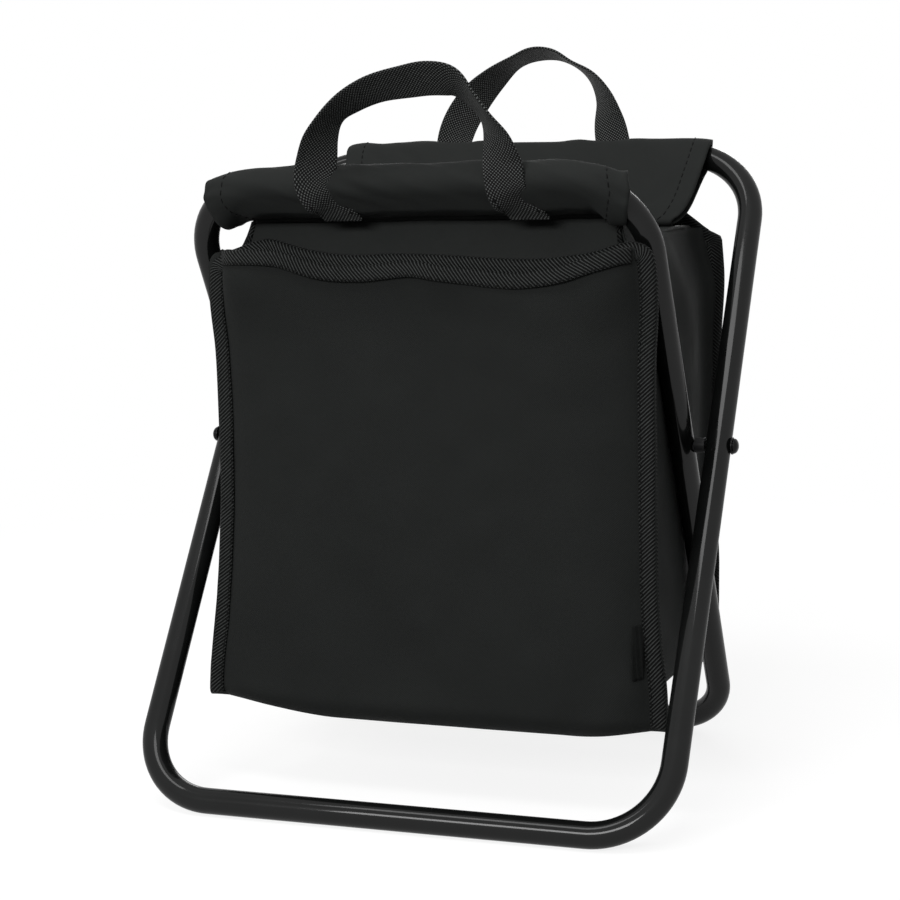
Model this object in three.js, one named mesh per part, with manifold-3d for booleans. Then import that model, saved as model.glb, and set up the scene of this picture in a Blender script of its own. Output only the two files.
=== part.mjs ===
// Folding cooler stool. Two nested loops of steel tube cross on a rivet at each side, and a soft
// insulated bag hangs between their top bars, which carry the seat.
// Millimetres, +Z up, the pocket faces -Y. The origin is on the floor, under the middle of the stool.

import * as THREE from 'three';
import { mergeVertices } from 'three/addons/utils/BufferGeometryUtils.js';
import Module from 'manifold-3d';

const wasm = await Module();
wasm.setup();

const DEG = Math.PI / 180;

// Tube
const TUBE_RADIUS = 8;
const TUBE_WALL = 1.2;
const TUBE_SIDES = 16;
const BEND_STEPS = 6;
const TUBE_JOINT_GAP = 1;
const PLUG_LENGTH = 60;

// Frame loops, measured on the tube's centreline and from the pivot
const PIVOT_HEIGHT = 216.5;
const INNER_WIDTH = 290;
const INNER_TOP_REACH = 192.8;
const INNER_LEAN = 29.2 * DEG;
const INNER_TOP_BEND = 52;
const INNER_FOOT_BEND = 36;
const TUBE_GAP = 7.3;
const OUTER_TOP_REACH = 222.4;
const OUTER_LEAN = 35.5 * DEG;
const OUTER_TOP_BEND = 54;
const OUTER_FOOT_BEND = 47;

// Pivot hardware
const RIVET_RADIUS = 3;
const RIVET_HEAD_RADIUS = 4.9;
const RIVET_HEAD_HEIGHT = 3.2;
const RIVET_TAIL_RADIUS = 4.4;
const RIVET_TAIL_HEIGHT = 2.2;
const WASHER_RADIUS = 5.4;
const WASHER_THICKNESS = 1;
const SPACER_RADIUS = 4.8;
const ROUND_SIDES = 20;
const DOME_STEPS = 4;

// Clearances
const SEAT_GAP = 0.3;
const BORE_CLEARANCE = 0.3;
const GUSSET_CLEARANCE = 7;

// Bag cloth layers
const CLOTH = 1.6;
const FOAM = 5;
const LINER = 1.2;

// Bag shape, hung from the two bars
const FRONT_FLAP_BACK = 26;
const FRONT_FLAP_DROP = 22.5;
const REAR_FLAP_FORWARD = 41;
const REAR_FLAP_DROP = 48;
const FRONT_SHOULDER_DEPTH = 11;
const FRONT_SHOULDER_DROP = 24;
const REAR_SHOULDER_DEPTH = 40;
const REAR_SHOULDER_DROP = 3.5;
const PANEL_HEIGHT = 292;
const BOTTOM_DEPTH = 185;
const FLANGE_WIDTH = 16;
const PANEL_TOP_CORNER = 18;
const PANEL_FOOT_CORNER = 9;
const RIDGE_NARROWING = 11;
const GUSSET_SWELL = 7;
const REAR_CROWN = 6;
const CROWN_BORDER = 4;
const CROWN_SLOPE = 30;
const LINER_HEADROOM = 2;
const FOAM_HEADROOM = 6;
const CORNER_STEPS = 4;

// Binding tape round the panels
const BINDING_WIDTH = 10;
const BINDING_THICKNESS = 1.1;
const BINDING_INNER_CORNER = 4;
const HEM_DROP = 4.5;

// Pocket
const POCKET_BULGE = 11;
const POCKET_SLOPE = 13;
const POCKET_TOP_DROP = 4;
const POCKET_MARGIN = 4;
const POCKET_CORNER = 14;
const MOUTH_BINDING_HEIGHT = 9;

// Woven tag in the pocket's side seam
const TAG_WIDTH = 8;
const TAG_HEIGHT = 33;
const TAG_THICKNESS = 0.8;
const TAG_RISE = 40;

// Sleeves round the bars
const SLEEVE_LENGTH = 252;
const SLEEVE_SHIFT = 3;
const SLEEVE_EASE = 0.6;
const SEAM_BEAD = 2.2;
const SEAM_LIFT = 2.8;
const SLEEVE_SIDES = 24;
const SLEEVE_STATIONS = 13;
const BEND_COVER_SHARE = 0.95;

// Zip along the top
const ZIP_SAG = 6;
const ZIP_LENGTH = 216;
const ZIP_TAPE_WIDTH = 14;
const ZIP_TAPE_THICKNESS = 0.8;
const ZIP_MOUTH = 14;
const COIL_WIDTH = 4.8;
const COIL_HEIGHT = 2;
const SLIDER_LENGTH = 11;
const SLIDER_WIDTH = 9;
const SLIDER_WALL = 1.2;
const SLIDER_END_MARGIN = 10;
const BRIDGE_LENGTH = 8;
const BRIDGE_HEIGHT = 4;
const BRIDGE_WIDTH = 2;
const BRIDGE_BAR = 1.1;
const PULL_LENGTH = 22;
const PULL_WIDTH = 7;
const PULL_THICKNESS = 1.2;
const PULL_BAR = 1.2;
const PULL_EYE = 6;

// Webbing handles
const STRAP_WIDTH = 25;
const STRAP_THICKNESS = 1.8;
const STRAP_GAP = 0.5;
const STRAP_STEPS = 24;
const HANDLE_SPREAD = 122;
const FRONT_HANDLE_SHIFT = 13;
const FRONT_HANDLE_RISE = 69;
const FRONT_HANDLE_LEAN = 11 * DEG;
const REAR_HANDLE_SHIFT = 5;
const REAR_HANDLE_RISE = 77;
const REAR_HANDLE_LEAN = 8 * DEG;
const STRAP_TUCK_SHARE = 0.5;

// Finishes
const glossBlack = { color: 0x0d0d0e, roughness: 0.18, metalness: 0.6 };
const rivetBlack = { color: 0x151516, roughness: 0.35, metalness: 0.7 };
const plugSteel = { color: 0x8f9296, roughness: 0.4, metalness: 0.9 };
const spacerBlack = { color: 0x18181a, roughness: 0.6, metalness: 0 };
const clothBlack = { color: 0x1b1c1e, roughness: 0.85, metalness: 0 };
const bindingBlack = { color: 0x17181a, roughness: 0.9, metalness: 0 };
const webbingBlack = { color: 0x141516, roughness: 0.8, metalness: 0 };
const foamWhite = { color: 0xe6e6e2, roughness: 0.95, metalness: 0 };
const linerSilver = { color: 0xb9bcc0, roughness: 0.4, metalness: 0.1 };
const zipBlack = { color: 0x101011, roughness: 0.5, metalness: 0.2 };

// Places worked out from the sizes above
const outerWidth = INNER_WIDTH + 2 * (2 * TUBE_RADIUS + TUBE_GAP);
const footDrop = TUBE_RADIUS * Math.cos(Math.PI / TUBE_SIDES);
const innerFootReach = (PIVOT_HEIGHT - footDrop) / Math.cos(INNER_LEAN);
const outerFootReach = (PIVOT_HEIGHT - footDrop) / Math.cos(OUTER_LEAN);
const frontBar = new THREE.Vector2(
  -INNER_TOP_REACH * Math.sin(INNER_LEAN),
  PIVOT_HEIGHT + INNER_TOP_REACH * Math.cos(INNER_LEAN),
);
const rearBar = new THREE.Vector2(
  OUTER_TOP_REACH * Math.sin(OUTER_LEAN),
  PIVOT_HEIGHT + OUTER_TOP_REACH * Math.cos(OUTER_LEAN),
);
const frontSeam = new THREE.Vector2(frontBar.x + FRONT_FLAP_BACK, frontBar.y - FRONT_FLAP_DROP);
const rearSeam = new THREE.Vector2(rearBar.x - REAR_FLAP_FORWARD, rearBar.y - REAR_FLAP_DROP);
const frontTop = new THREE.Vector2(
  frontSeam.x - FRONT_SHOULDER_DEPTH,
  frontSeam.y - FRONT_SHOULDER_DROP,
);
const rearTop = new THREE.Vector2(rearSeam.x + REAR_SHOULDER_DEPTH, rearSeam.y - REAR_SHOULDER_DROP);
const bottomZ = frontTop.y - PANEL_HEIGHT;
const rearFoot = new THREE.Vector2(frontTop.x + BOTTOM_DEPTH, bottomZ);
const rearSlant = Math.atan2(rearTop.x - rearFoot.x, rearTop.y - rearFoot.y);
const rearPanelHeight = rearTop.distanceTo(rearFoot);
const gussetX = INNER_WIDTH / 2 - TUBE_RADIUS - GUSSET_CLEARANCE;
const panelHalf = gussetX + FLANGE_WIDTH;
const layerX = gussetX - CLOTH - SEAT_GAP;
const zipY = (frontSeam.x + rearSeam.x) / 2;
const zipZ = (frontSeam.y + rearSeam.y) / 2 - ZIP_SAG;

const stool = new THREE.Group();

/** Adds one named piece to a parent group. */
function piece(name, geometry, finish, parent = stool) {
  const mesh = new THREE.Mesh(geometry, new THREE.MeshStandardMaterial(finish));
  mesh.name = name;
  parent.add(mesh);
  return mesh;
}

/** A closed geometry as a solid that can be joined and cut. */
function solidOf(geometry) {
  const bare = geometry.clone();
  bare.deleteAttribute('normal');
  bare.deleteAttribute('uv');
  const merged = mergeVertices(bare, 1e-4);
  return new wasm.Manifold(
    new wasm.Mesh({
      numProp: 3,
      vertProperties: new Float32Array(merged.attributes.position.array),
      triVerts: new Uint32Array(merged.index.array),
    }),
  );
}

/** The geometry of a solid. */
function geometryOf(solid) {
  const mesh = solid.getMesh();
  const geometry = new THREE.BufferGeometry();
  geometry.setAttribute('position', new THREE.BufferAttribute(new Float32Array(mesh.vertProperties), 3));
  geometry.setIndex(new THREE.BufferAttribute(new Uint32Array(mesh.triVerts), 1));
  geometry.computeVertexNormals();
  return geometry;
}

/** A shape drawn in X and Z, made thick from yFront back to yBack. */
function uprightPlate(shape, yFront, yBack) {
  const geometry = new THREE.ExtrudeGeometry(shape, {
    depth: yBack - yFront,
    bevelEnabled: false,
    curveSegments: CORNER_STEPS,
  });
  return geometry.rotateX(Math.PI / 2).translate(0, yBack, 0);
}

/** A shape drawn in Y and Z, made thick from xLow to xHigh. */
function sidePlate(shape, xLow, xHigh) {
  const geometry = new THREE.ExtrudeGeometry(shape, { depth: xHigh - xLow, bevelEnabled: false });
  const axes = new THREE.Matrix4().makeBasis(
    new THREE.Vector3(0, 1, 0),
    new THREE.Vector3(0, 0, 1),
    new THREE.Vector3(1, 0, 0),
  );
  return geometry.applyMatrix4(axes).translate(xLow, 0, 0);
}

/** A rectangle from low to high with its upper and lower corners rounded. */
function roundedRectangle(xLow, zLow, xHigh, zHigh, top, foot = top) {
  const shape = new THREE.Shape();
  shape.moveTo(xLow + foot, zLow);
  shape.lineTo(xHigh - foot, zLow);
  shape.absarc(xHigh - foot, zLow + foot, foot, -Math.PI / 2, 0);
  shape.lineTo(xHigh, zHigh - top);
  shape.absarc(xHigh - top, zHigh - top, top, 0, Math.PI / 2);
  shape.lineTo(xLow + top, zHigh);
  shape.absarc(xLow + top, zHigh - top, top, Math.PI / 2, Math.PI);
  shape.lineTo(xLow, zLow + foot);
  shape.absarc(xLow + foot, zLow + foot, foot, Math.PI, Math.PI * 1.5);
  return shape;
}

/** A wall panel's outline grown all round by a distance, its lower edge at z = 0. */
function panelOutline(height, grown = 0) {
  return roundedRectangle(
    -panelHalf - grown,
    -grown,
    panelHalf + grown,
    height + grown,
    PANEL_TOP_CORNER + grown,
    PANEL_FOOT_CORNER + grown,
  );
}

/** A closed outline through points given as [y, z] pairs or Vector2s. */
function outline(points) {
  return new THREE.Shape(points.map((p) => (Array.isArray(p) ? new THREE.Vector2(...p) : p)));
}

/** A box between two corners. */
function block(low, high) {
  const size = high.map((value, i) => value - low[i]);
  const middle = high.map((value, i) => (value + low[i]) / 2);
  return new THREE.BoxGeometry(...size).translate(...middle);
}

/** A closed sheet over rows of points, made thick by an offset. */
function sheetOver(rows, offset) {
  const [rowEnd, columnEnd] = [rows.length - 1, rows[0].length - 1];
  const face = rows.flat();
  const corners = [...face, ...face.map((point) => point.clone().add(offset))];
  const at = (row, column, layer) => layer * face.length + row * (columnEnd + 1) + column;
  const faces = [];
  const quad = (a, b, c, d) => faces.push(a, b, c, a, c, d);
  for (let r = 0; r < rowEnd; r += 1) {
    for (let c = 0; c < columnEnd; c += 1) {
      quad(at(r, c, 0), at(r, c + 1, 0), at(r + 1, c + 1, 0), at(r + 1, c, 0));
      quad(at(r, c, 1), at(r + 1, c, 1), at(r + 1, c + 1, 1), at(r, c + 1, 1));
    }
    quad(at(r, 0, 0), at(r + 1, 0, 0), at(r + 1, 0, 1), at(r, 0, 1));
    quad(at(r, columnEnd, 0), at(r, columnEnd, 1), at(r + 1, columnEnd, 1), at(r + 1, columnEnd, 0));
  }
  for (let c = 0; c < columnEnd; c += 1) {
    quad(at(0, c, 0), at(0, c, 1), at(0, c + 1, 1), at(0, c + 1, 0));
    quad(at(rowEnd, c, 0), at(rowEnd, c + 1, 0), at(rowEnd, c + 1, 1), at(rowEnd, c, 1));
  }
  const places = corners.flatMap((point) => point.toArray());
  const geometry = new THREE.BufferGeometry();
  geometry.setAttribute('position', new THREE.Float32BufferAttribute(places, 3));
  geometry.setIndex(faces);
  geometry.computeVertexNormals();
  return geometry;
}

/** A turned piece whose profile is [radius, x] pairs along the X axis. */
function turned(profile) {
  const points = profile.map(([radius, x]) => new THREE.Vector2(radius, x));
  return new THREE.LatheGeometry(points, ROUND_SIDES).rotateZ(-Math.PI / 2);
}

/** A washer or bush on the X axis between two places. */
function ring(bore, radius, xLow, xHigh) {
  return turned([
    [bore, xLow],
    [radius, xLow],
    [radius, xHigh],
    [bore, xHigh],
    [bore, xLow],
  ]);
}

/** A bent tube's path: one step along each straight run and several round each bend. */
class BentPath extends THREE.Curve {
  constructor(stations) {
    super();
    this.stations = stations;
  }

  get steps() {
    return this.stations.length - 1;
  }

  getPoint(t, target = new THREE.Vector3()) {
    const place = t * this.steps;
    const index = Math.min(Math.floor(place), this.steps - 1);
    const [from, to] = [this.stations[index], this.stations[index + 1]];
    return target.lerpVectors(from.point, to.point, place - index);
  }

  getPointAt(u, target) {
    return this.getPoint(u, target);
  }

  getTangentAt(u, target = new THREE.Vector3()) {
    return target.copy(this.stations[Math.round(u * this.steps)].tangent);
  }
}

/** Stations round a loop in the XZ plane with the pivot at z = 0, from the joint in its top bar. */
function loopPath({ halfWidth, top, foot, topBend, footBend }) {
  const along = new THREE.Vector3(1, 0, 0);
  const stations = [{ point: new THREE.Vector3(TUBE_JOINT_GAP / 2, 0, top), tangent: along }];
  const bends = [
    [halfWidth - topBend, top - topBend, topBend, 90],
    [halfWidth - footBend, footBend - foot, footBend, 0],
    [footBend - halfWidth, footBend - foot, footBend, -90],
    [topBend - halfWidth, top - topBend, topBend, -180],
  ];
  for (const [x, z, radius, start] of bends) {
    for (let step = 0; step <= BEND_STEPS; step += 1) {
      const angle = (start - (90 * step) / BEND_STEPS) * DEG;
      const [sin, cos] = [Math.sin(angle), Math.cos(angle)];
      const point = new THREE.Vector3(x + radius * cos, 0, z + radius * sin);
      stations.push({ point, tangent: new THREE.Vector3(sin, 0, -cos) });
    }
  }
  stations.push({ point: new THREE.Vector3(-TUBE_JOINT_GAP / 2, 0, top), tangent: along });
  return new BentPath(stations);
}

/** Regular polygon with a flat side turned to the given angle. */
function flatSided(radius, angle) {
  const points = [];
  for (let side = 0; side < TUBE_SIDES; side += 1) {
    const turn = angle + ((side + 0.5) * 2 * Math.PI) / TUBE_SIDES;
    points.push(new THREE.Vector2(radius * Math.cos(turn), radius * Math.sin(turn)));
  }
  return points;
}

/** One tube loop with its pivot holes and joint plug, leaning about the pivot, a flat side down. */
function frameLoop(prefix, lean, sizes) {
  const group = new THREE.Group();
  group.position.z = PIVOT_HEIGHT;
  group.rotation.x = lean;
  stool.add(group);
  const section = new THREE.Shape(flatSided(TUBE_RADIUS, lean));
  section.holes.push(new THREE.Path(flatSided(TUBE_RADIUS - TUBE_WALL, lean)));
  const path = loopPath(sizes);
  const tube = new THREE.ExtrudeGeometry(section, { steps: path.steps, extrudePath: path });
  const reach = 2 * (sizes.halfWidth + 2 * TUBE_RADIUS);
  const drill = new THREE.CylinderGeometry(
    RIVET_RADIUS + BORE_CLEARANCE,
    RIVET_RADIUS + BORE_CLEARANCE,
    reach,
    ROUND_SIDES,
  ).rotateZ(Math.PI / 2);
  piece(`${prefix}_frame_tube`, geometryOf(solidOf(tube).subtract(solidOf(drill))), glossBlack, group);
  const plugPath = new BentPath([
    { point: new THREE.Vector3(-PLUG_LENGTH / 2, 0, sizes.top), tangent: new THREE.Vector3(1, 0, 0) },
    { point: new THREE.Vector3(PLUG_LENGTH / 2, 0, sizes.top), tangent: new THREE.Vector3(1, 0, 0) },
  ]);
  const plugSection = new THREE.Shape(flatSided(TUBE_RADIUS - TUBE_WALL - SEAT_GAP, lean));
  const plug = new THREE.ExtrudeGeometry(plugSection, { steps: plugPath.steps, extrudePath: plugPath });
  piece(`${prefix}_frame_joint_plug`, plug, plugSteel, group);
}

const innerLoop = {
  halfWidth: INNER_WIDTH / 2,
  top: INNER_TOP_REACH,
  foot: innerFootReach,
  topBend: INNER_TOP_BEND,
  footBend: INNER_FOOT_BEND,
};
const outerLoop = {
  halfWidth: outerWidth / 2,
  top: OUTER_TOP_REACH,
  foot: outerFootReach,
  topBend: OUTER_TOP_BEND,
  footBend: OUTER_FOOT_BEND,
};
frameLoop('inner', INNER_LEAN, innerLoop);
frameLoop('outer', -OUTER_LEAN, outerLoop);

/** Rivet, spacer and two washers of one side; side is 1 for right and -1 for left. */
function pivot(label, side) {
  const group = new THREE.Group();
  group.position.z = PIVOT_HEIGHT;
  group.rotation.z = side > 0 ? 0 : Math.PI;
  stool.add(group);
  const bore = RIVET_RADIUS + BORE_CLEARANCE;
  const innerFace = INNER_WIDTH / 2 - TUBE_RADIUS;
  const outerFace = outerWidth / 2 + TUBE_RADIUS;
  const tailWasher = innerFace - SEAT_GAP - WASHER_THICKNESS;
  const headWasher = outerFace + SEAT_GAP;
  const tail = tailWasher - SEAT_GAP;
  const head = headWasher + WASHER_THICKNESS + SEAT_GAP;
  const profile = [
    [0, tail - RIVET_TAIL_HEIGHT],
    [RIVET_RADIUS, tail - RIVET_TAIL_HEIGHT],
    [RIVET_TAIL_RADIUS, tail],
    [RIVET_RADIUS, tail],
    [RIVET_RADIUS, head],
  ];
  for (let step = 0; step <= DOME_STEPS; step += 1) {
    const turn = (step / DOME_STEPS) * (Math.PI / 2);
    const radius = step === DOME_STEPS ? 0 : RIVET_HEAD_RADIUS * Math.cos(turn);
    profile.push([radius, head + RIVET_HEAD_HEIGHT * Math.sin(turn)]);
  }
  piece(`pivot_rivet_${label}`, turned(profile), rivetBlack, group);
  const spacerLow = INNER_WIDTH / 2 + TUBE_RADIUS + SEAT_GAP;
  const spacerHigh = outerWidth / 2 - TUBE_RADIUS - SEAT_GAP;
  piece(`pivot_spacer_${label}`, ring(bore, SPACER_RADIUS, spacerLow, spacerHigh), spacerBlack, group);
  const headRing = ring(bore, WASHER_RADIUS, headWasher, headWasher + WASHER_THICKNESS);
  piece(`pivot_head_washer_${label}`, headRing, rivetBlack, group);
  const tailRing = ring(bore, WASHER_RADIUS, tailWasher, tailWasher + WASHER_THICKNESS);
  piece(`pivot_tail_washer_${label}`, tailRing, rivetBlack, group);
}

pivot('left', -1);
pivot('right', 1);

/** Tape folded over a panel's sides and top; the panel stands in y from 0 to CLOTH. */
function edgeBinding(height) {
  const grown = SEAT_GAP + BINDING_THICKNESS;
  const bound = panelHalf - BINDING_WIDTH;
  const window = roundedRectangle(-bound, -panelHalf, bound, height - BINDING_WIDTH, BINDING_INNER_CORNER);
  const tape = solidOf(uprightPlate(panelOutline(height, grown), -grown, CLOTH + grown));
  const open = solidOf(uprightPlate(window, -2 * grown, CLOTH + 2 * grown));
  const slot = solidOf(uprightPlate(panelOutline(height, SEAT_GAP), -SEAT_GAP, CLOTH + SEAT_GAP));
  return geometryOf(tape.subtract(open).subtract(slot));
}

// Front wall: its local y = 0 is the panel's outer face and z = 0 its lower edge
const frontWall = new THREE.Group();
frontWall.position.set(0, frontTop.x - CLOTH, bottomZ);
stool.add(frontWall);
piece('bag_front_panel', uprightPlate(panelOutline(PANEL_HEIGHT), 0, CLOTH), clothBlack, frontWall);
piece('front_panel_binding', edgeBinding(PANEL_HEIGHT), bindingBlack, frontWall);

/** A wall panel with a flat border and a shallow crown, its lower edge at z = 0 and its front at y = 0. */
function crownedPanel(height, crown) {
  const border = BINDING_WIDTH + CROWN_BORDER;
  const full = border + CROWN_SLOPE;
  const shares = [border, full].map((inset) => 1 - inset / panelHalf);
  const columns = [-1, -shares[0], -shares[1], 0, shares[1], shares[0], 1];
  const turns = Array.from({ length: CORNER_STEPS + 1 }, (_, step) => (step / CORNER_STEPS) * (Math.PI / 2));
  const footRows = turns.map((turn) => ({
    half: panelHalf - PANEL_FOOT_CORNER * (1 - Math.sin(turn)),
    z: PANEL_FOOT_CORNER * (1 - Math.cos(turn)),
    lift: 0,
  }));
  const middleRows = [
    { half: panelHalf, z: border, lift: 0 },
    { half: panelHalf, z: full, lift: crown },
    { half: panelHalf, z: height - PANEL_TOP_CORNER - CROWN_SLOPE, lift: crown },
  ];
  const topRows = turns.map((turn) => ({
    half: panelHalf - PANEL_TOP_CORNER * (1 - Math.cos(turn)),
    z: height - PANEL_TOP_CORNER * (1 - Math.sin(turn)),
    lift: 0,
  }));
  const rows = [...footRows, ...middleRows, ...topRows].map(({ half, z, lift }) =>
    columns.map((share) => new THREE.Vector3(share * half, Math.abs(share) > shares[1] ? 0 : lift, z)),
  );
  return sheetOver(rows, new THREE.Vector3(0, CLOTH, 0));
}

// Rear wall: the same, turned about its lower edge so that it leans back, and crowned over its foam
const rearWall = new THREE.Group();
rearWall.position.set(0, rearFoot.x, bottomZ);
rearWall.rotation.x = -rearSlant;
stool.add(rearWall);
piece('bag_rear_panel', crownedPanel(rearPanelHeight, REAR_CROWN), clothBlack, rearWall);
piece('rear_panel_binding', edgeBinding(rearPanelHeight), bindingBlack, rearWall);

/** The rear wall's front face at a height, less a distance forward. */
function rearFace(z, inset) {
  return rearFoot.x + (z - rearFoot.y) * Math.tan(rearSlant) - inset / Math.cos(rearSlant);
}

// Gussets, bottom and foam inside the two walls
const seamAllowance = BINDING_WIDTH + SEAT_GAP;
const floorLow = bottomZ + seamAllowance;
const floorTop = floorLow + CLOTH;
const frontHemZ = frontTop.y - seamAllowance - HEM_DROP;
const rearHemZ = rearTop.y - seamAllowance - HEM_DROP;
const foamFloor = floorTop + SEAT_GAP + FOAM;
const wallFoot = foamFloor + SEAT_GAP;
const frontInside = frontTop.x + SEAT_GAP;
const frontHem = new THREE.Vector2(frontInside, frontHemZ);
const rearHem = new THREE.Vector2(rearFace(rearHemZ, SEAT_GAP), rearHemZ);
const foamTop = Math.min(frontHemZ, rearHemZ) - FOAM_HEADROOM;
const leanFoot = foamTop + SEAT_GAP;

/** How far the sides stand in from their full width at a height, above the foam. */
function sideLean(z) {
  return (RIDGE_NARROWING * Math.max(z - leanFoot, 0)) / (frontSeam.y - leanFoot);
}

/** Draws a roof panel's ends in with the leaning sides. */
function drawnIn(geometry) {
  const place = geometry.attributes.position;
  for (let i = 0; i < place.count; i += 1) {
    const x = place.getX(i);
    place.setX(i, x - Math.sign(x) * sideLean(place.getZ(i)));
  }
  return geometry;
}

/** A side gusset from the bottom to the crest of the roof; side is 1 for right and -1 for left. */
function sideGusset(side) {
  const foot = floorTop + SEAT_GAP;
  const zip = new THREE.Vector2(zipY, zipZ);
  const crest = [
    { top: frontHem, slack: 0 },
    { top: frontSeam, slack: 0.05 },
    { top: frontSeam.clone().lerp(zip, 0.5), slack: 0.25 },
    { top: zip, slack: 0.38 },
    { top: rearSeam.clone().lerp(zip, 0.5), slack: 1 },
    { top: rearSeam, slack: 0.6 },
    { top: rearHem, slack: 0 },
  ];
  const levels = [
    { rise: 0, fullness: 0 },
    { rise: 0.25, fullness: 0.35 },
    { rise: 0.5, fullness: 0.7 },
    { rise: 0.8, fullness: 1 },
    { rise: 1, fullness: 0.5 },
  ];
  const rows = crest.map(({ top, slack }) => {
    const share = (top.x - frontInside) / (rearFace(top.y, SEAT_GAP) - frontInside);
    const heights = levels.map(({ rise, fullness }) => ({ z: foot + rise * (leanFoot - foot), fullness }));
    return [...heights, { z: top.y, fullness: 0 }].map(({ z, fullness }) => {
      const x = gussetX + GUSSET_SWELL * slack * fullness - sideLean(z);
      return new THREE.Vector3(side * x, frontInside + share * (rearFace(z, SEAT_GAP) - frontInside), z);
    });
  });
  return sheetOver(side < 0 ? rows : rows.reverse(), new THREE.Vector3(-side * CLOTH, 0, 0));
}

piece('bag_side_gusset_left', sideGusset(-1), clothBlack);
piece('bag_side_gusset_right', sideGusset(1), clothBlack);
const bottomOutline = outline([
  [frontInside, floorLow],
  [rearFace(floorLow, SEAT_GAP), floorLow],
  [rearFace(floorLow, SEAT_GAP), floorTop],
  [frontInside, floorTop],
]);
piece('bag_bottom_panel', sidePlate(bottomOutline, -gussetX, gussetX), clothBlack);

const foamBack = frontInside + FOAM;
piece(
  'bottom_foam',
  block([-layerX, frontInside, floorTop + SEAT_GAP], [layerX, rearFace(floorTop, SEAT_GAP), foamFloor]),
  foamWhite,
);
piece('front_foam', block([-layerX, frontInside, wallFoot], [layerX, foamBack, foamTop]), foamWhite);
const rearFoamOutline = outline([
  [rearFace(wallFoot, SEAT_GAP + FOAM), wallFoot],
  [rearFace(wallFoot, SEAT_GAP), wallFoot],
  [rearFace(foamTop, SEAT_GAP), foamTop],
  [rearFace(foamTop, SEAT_GAP + FOAM), foamTop],
]);
piece('rear_foam', sidePlate(rearFoamOutline, -layerX, layerX), foamWhite);

/** The space inside the walls at a distance in from the foam and up from the floor foam, to a height. */
function insideOutline(inset, zLow, zHigh) {
  const front = foamBack + inset;
  const rearInset = SEAT_GAP + FOAM + inset;
  return outline([
    [front, zLow],
    [rearFace(zLow, rearInset), zLow],
    [rearFace(zHigh, rearInset), zHigh],
    [front, zHigh],
  ]);
}

const sideFoamOutline = insideOutline(SEAT_GAP, wallFoot, foamTop);
piece('side_foam_left', sidePlate(sideFoamOutline, -layerX, FOAM - layerX), foamWhite);
piece('side_foam_right', sidePlate(sideFoamOutline, layerX - FOAM, layerX), foamWhite);

// Liner: an open box that follows the foam
const linerX = layerX - FOAM - SEAT_GAP;
const linerTop = foamTop - LINER_HEADROOM;
const linerShell = sidePlate(insideOutline(SEAT_GAP, wallFoot, linerTop), -linerX, linerX);
const linerRoom = sidePlate(
  insideOutline(SEAT_GAP + LINER, wallFoot + LINER, linerTop + LINER_HEADROOM),
  LINER - linerX,
  linerX - LINER,
);
piece('inner_liner', geometryOf(solidOf(linerShell).subtract(solidOf(linerRoom))), linerSilver);

/** A sheet under a line of three points, as an outline of even thickness. */
function sheetUnder(points, thickness) {
  const lower = points.map((point, i) => {
    const before = points[Math.max(i - 1, 0)];
    const after = points[Math.min(i + 1, points.length - 1)];
    const down = new THREE.Vector2(after.y - before.y, before.x - after.x).normalize();
    const run = after.clone().sub(point);
    const lean = run.length() > 0 ? Math.abs(down.dot(new THREE.Vector2(run.y, -run.x).normalize())) : 1;
    return point.clone().addScaledVector(down, thickness / Math.max(lean, 0.5));
  });
  return new THREE.Shape([...points, ...lower.reverse()]);
}

// Top panels, each from a wall's upper edge over the seam line to the zip
const frontZipEdge = new THREE.Vector2(zipY - ZIP_MOUTH / 2, zipZ);
const rearZipEdge = new THREE.Vector2(zipY + ZIP_MOUTH / 2, zipZ);
const frontSlope = sheetUnder([frontHem, frontSeam, frontZipEdge], CLOTH);
const rearSlope = sheetUnder([rearZipEdge, rearSeam, rearHem], CLOTH);
piece('top_front_panel', drawnIn(sidePlate(frontSlope, -layerX, layerX)), clothBlack);
piece('top_rear_panel', drawnIn(sidePlate(rearSlope, -layerX, layerX)), clothBlack);

// Zip: tapes under the panels' edges, the closed coil between them, the slider at the right end
const tapeTop = zipZ - CLOTH - SEAT_GAP;
const tapeLow = tapeTop - ZIP_TAPE_THICKNESS;
const zipEnd = ZIP_LENGTH / 2;
const tapeSlit = SEAT_GAP;
piece(
  'zip_tape_front',
  block([-zipEnd, zipY - tapeSlit - ZIP_TAPE_WIDTH, tapeLow], [zipEnd, zipY - tapeSlit, tapeTop]),
  zipBlack,
);
piece(
  'zip_tape_rear',
  block([-zipEnd, zipY + tapeSlit, tapeLow], [zipEnd, zipY + tapeSlit + ZIP_TAPE_WIDTH, tapeTop]),
  zipBlack,
);
const coilLow = tapeTop + SEAT_GAP;
const coilTop = coilLow + COIL_HEIGHT;
piece(
  'zip_coil',
  block([-zipEnd, zipY - COIL_WIDTH / 2, coilLow], [zipEnd, zipY + COIL_WIDTH / 2, coilTop]),
  zipBlack,
);
const sliderX = zipEnd - SLIDER_END_MARGIN - SLIDER_LENGTH / 2;
const sliderRoof = coilTop + SEAT_GAP;
const sliderTop = sliderRoof + SLIDER_WALL;
const channelHalf = COIL_WIDTH / 2 + SEAT_GAP;
const sliderOutline = outline([
  [zipY - SLIDER_WIDTH / 2, coilLow],
  [zipY - channelHalf, coilLow],
  [zipY - channelHalf, sliderRoof],
  [zipY + channelHalf, sliderRoof],
  [zipY + channelHalf, coilLow],
  [zipY + SLIDER_WIDTH / 2, coilLow],
  [zipY + SLIDER_WIDTH / 2, sliderTop],
  [zipY - SLIDER_WIDTH / 2, sliderTop],
]);
const sliderBody = sidePlate(sliderOutline, sliderX - SLIDER_LENGTH / 2, sliderX + SLIDER_LENGTH / 2);
const bridgeHalf = BRIDGE_LENGTH / 2;
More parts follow.
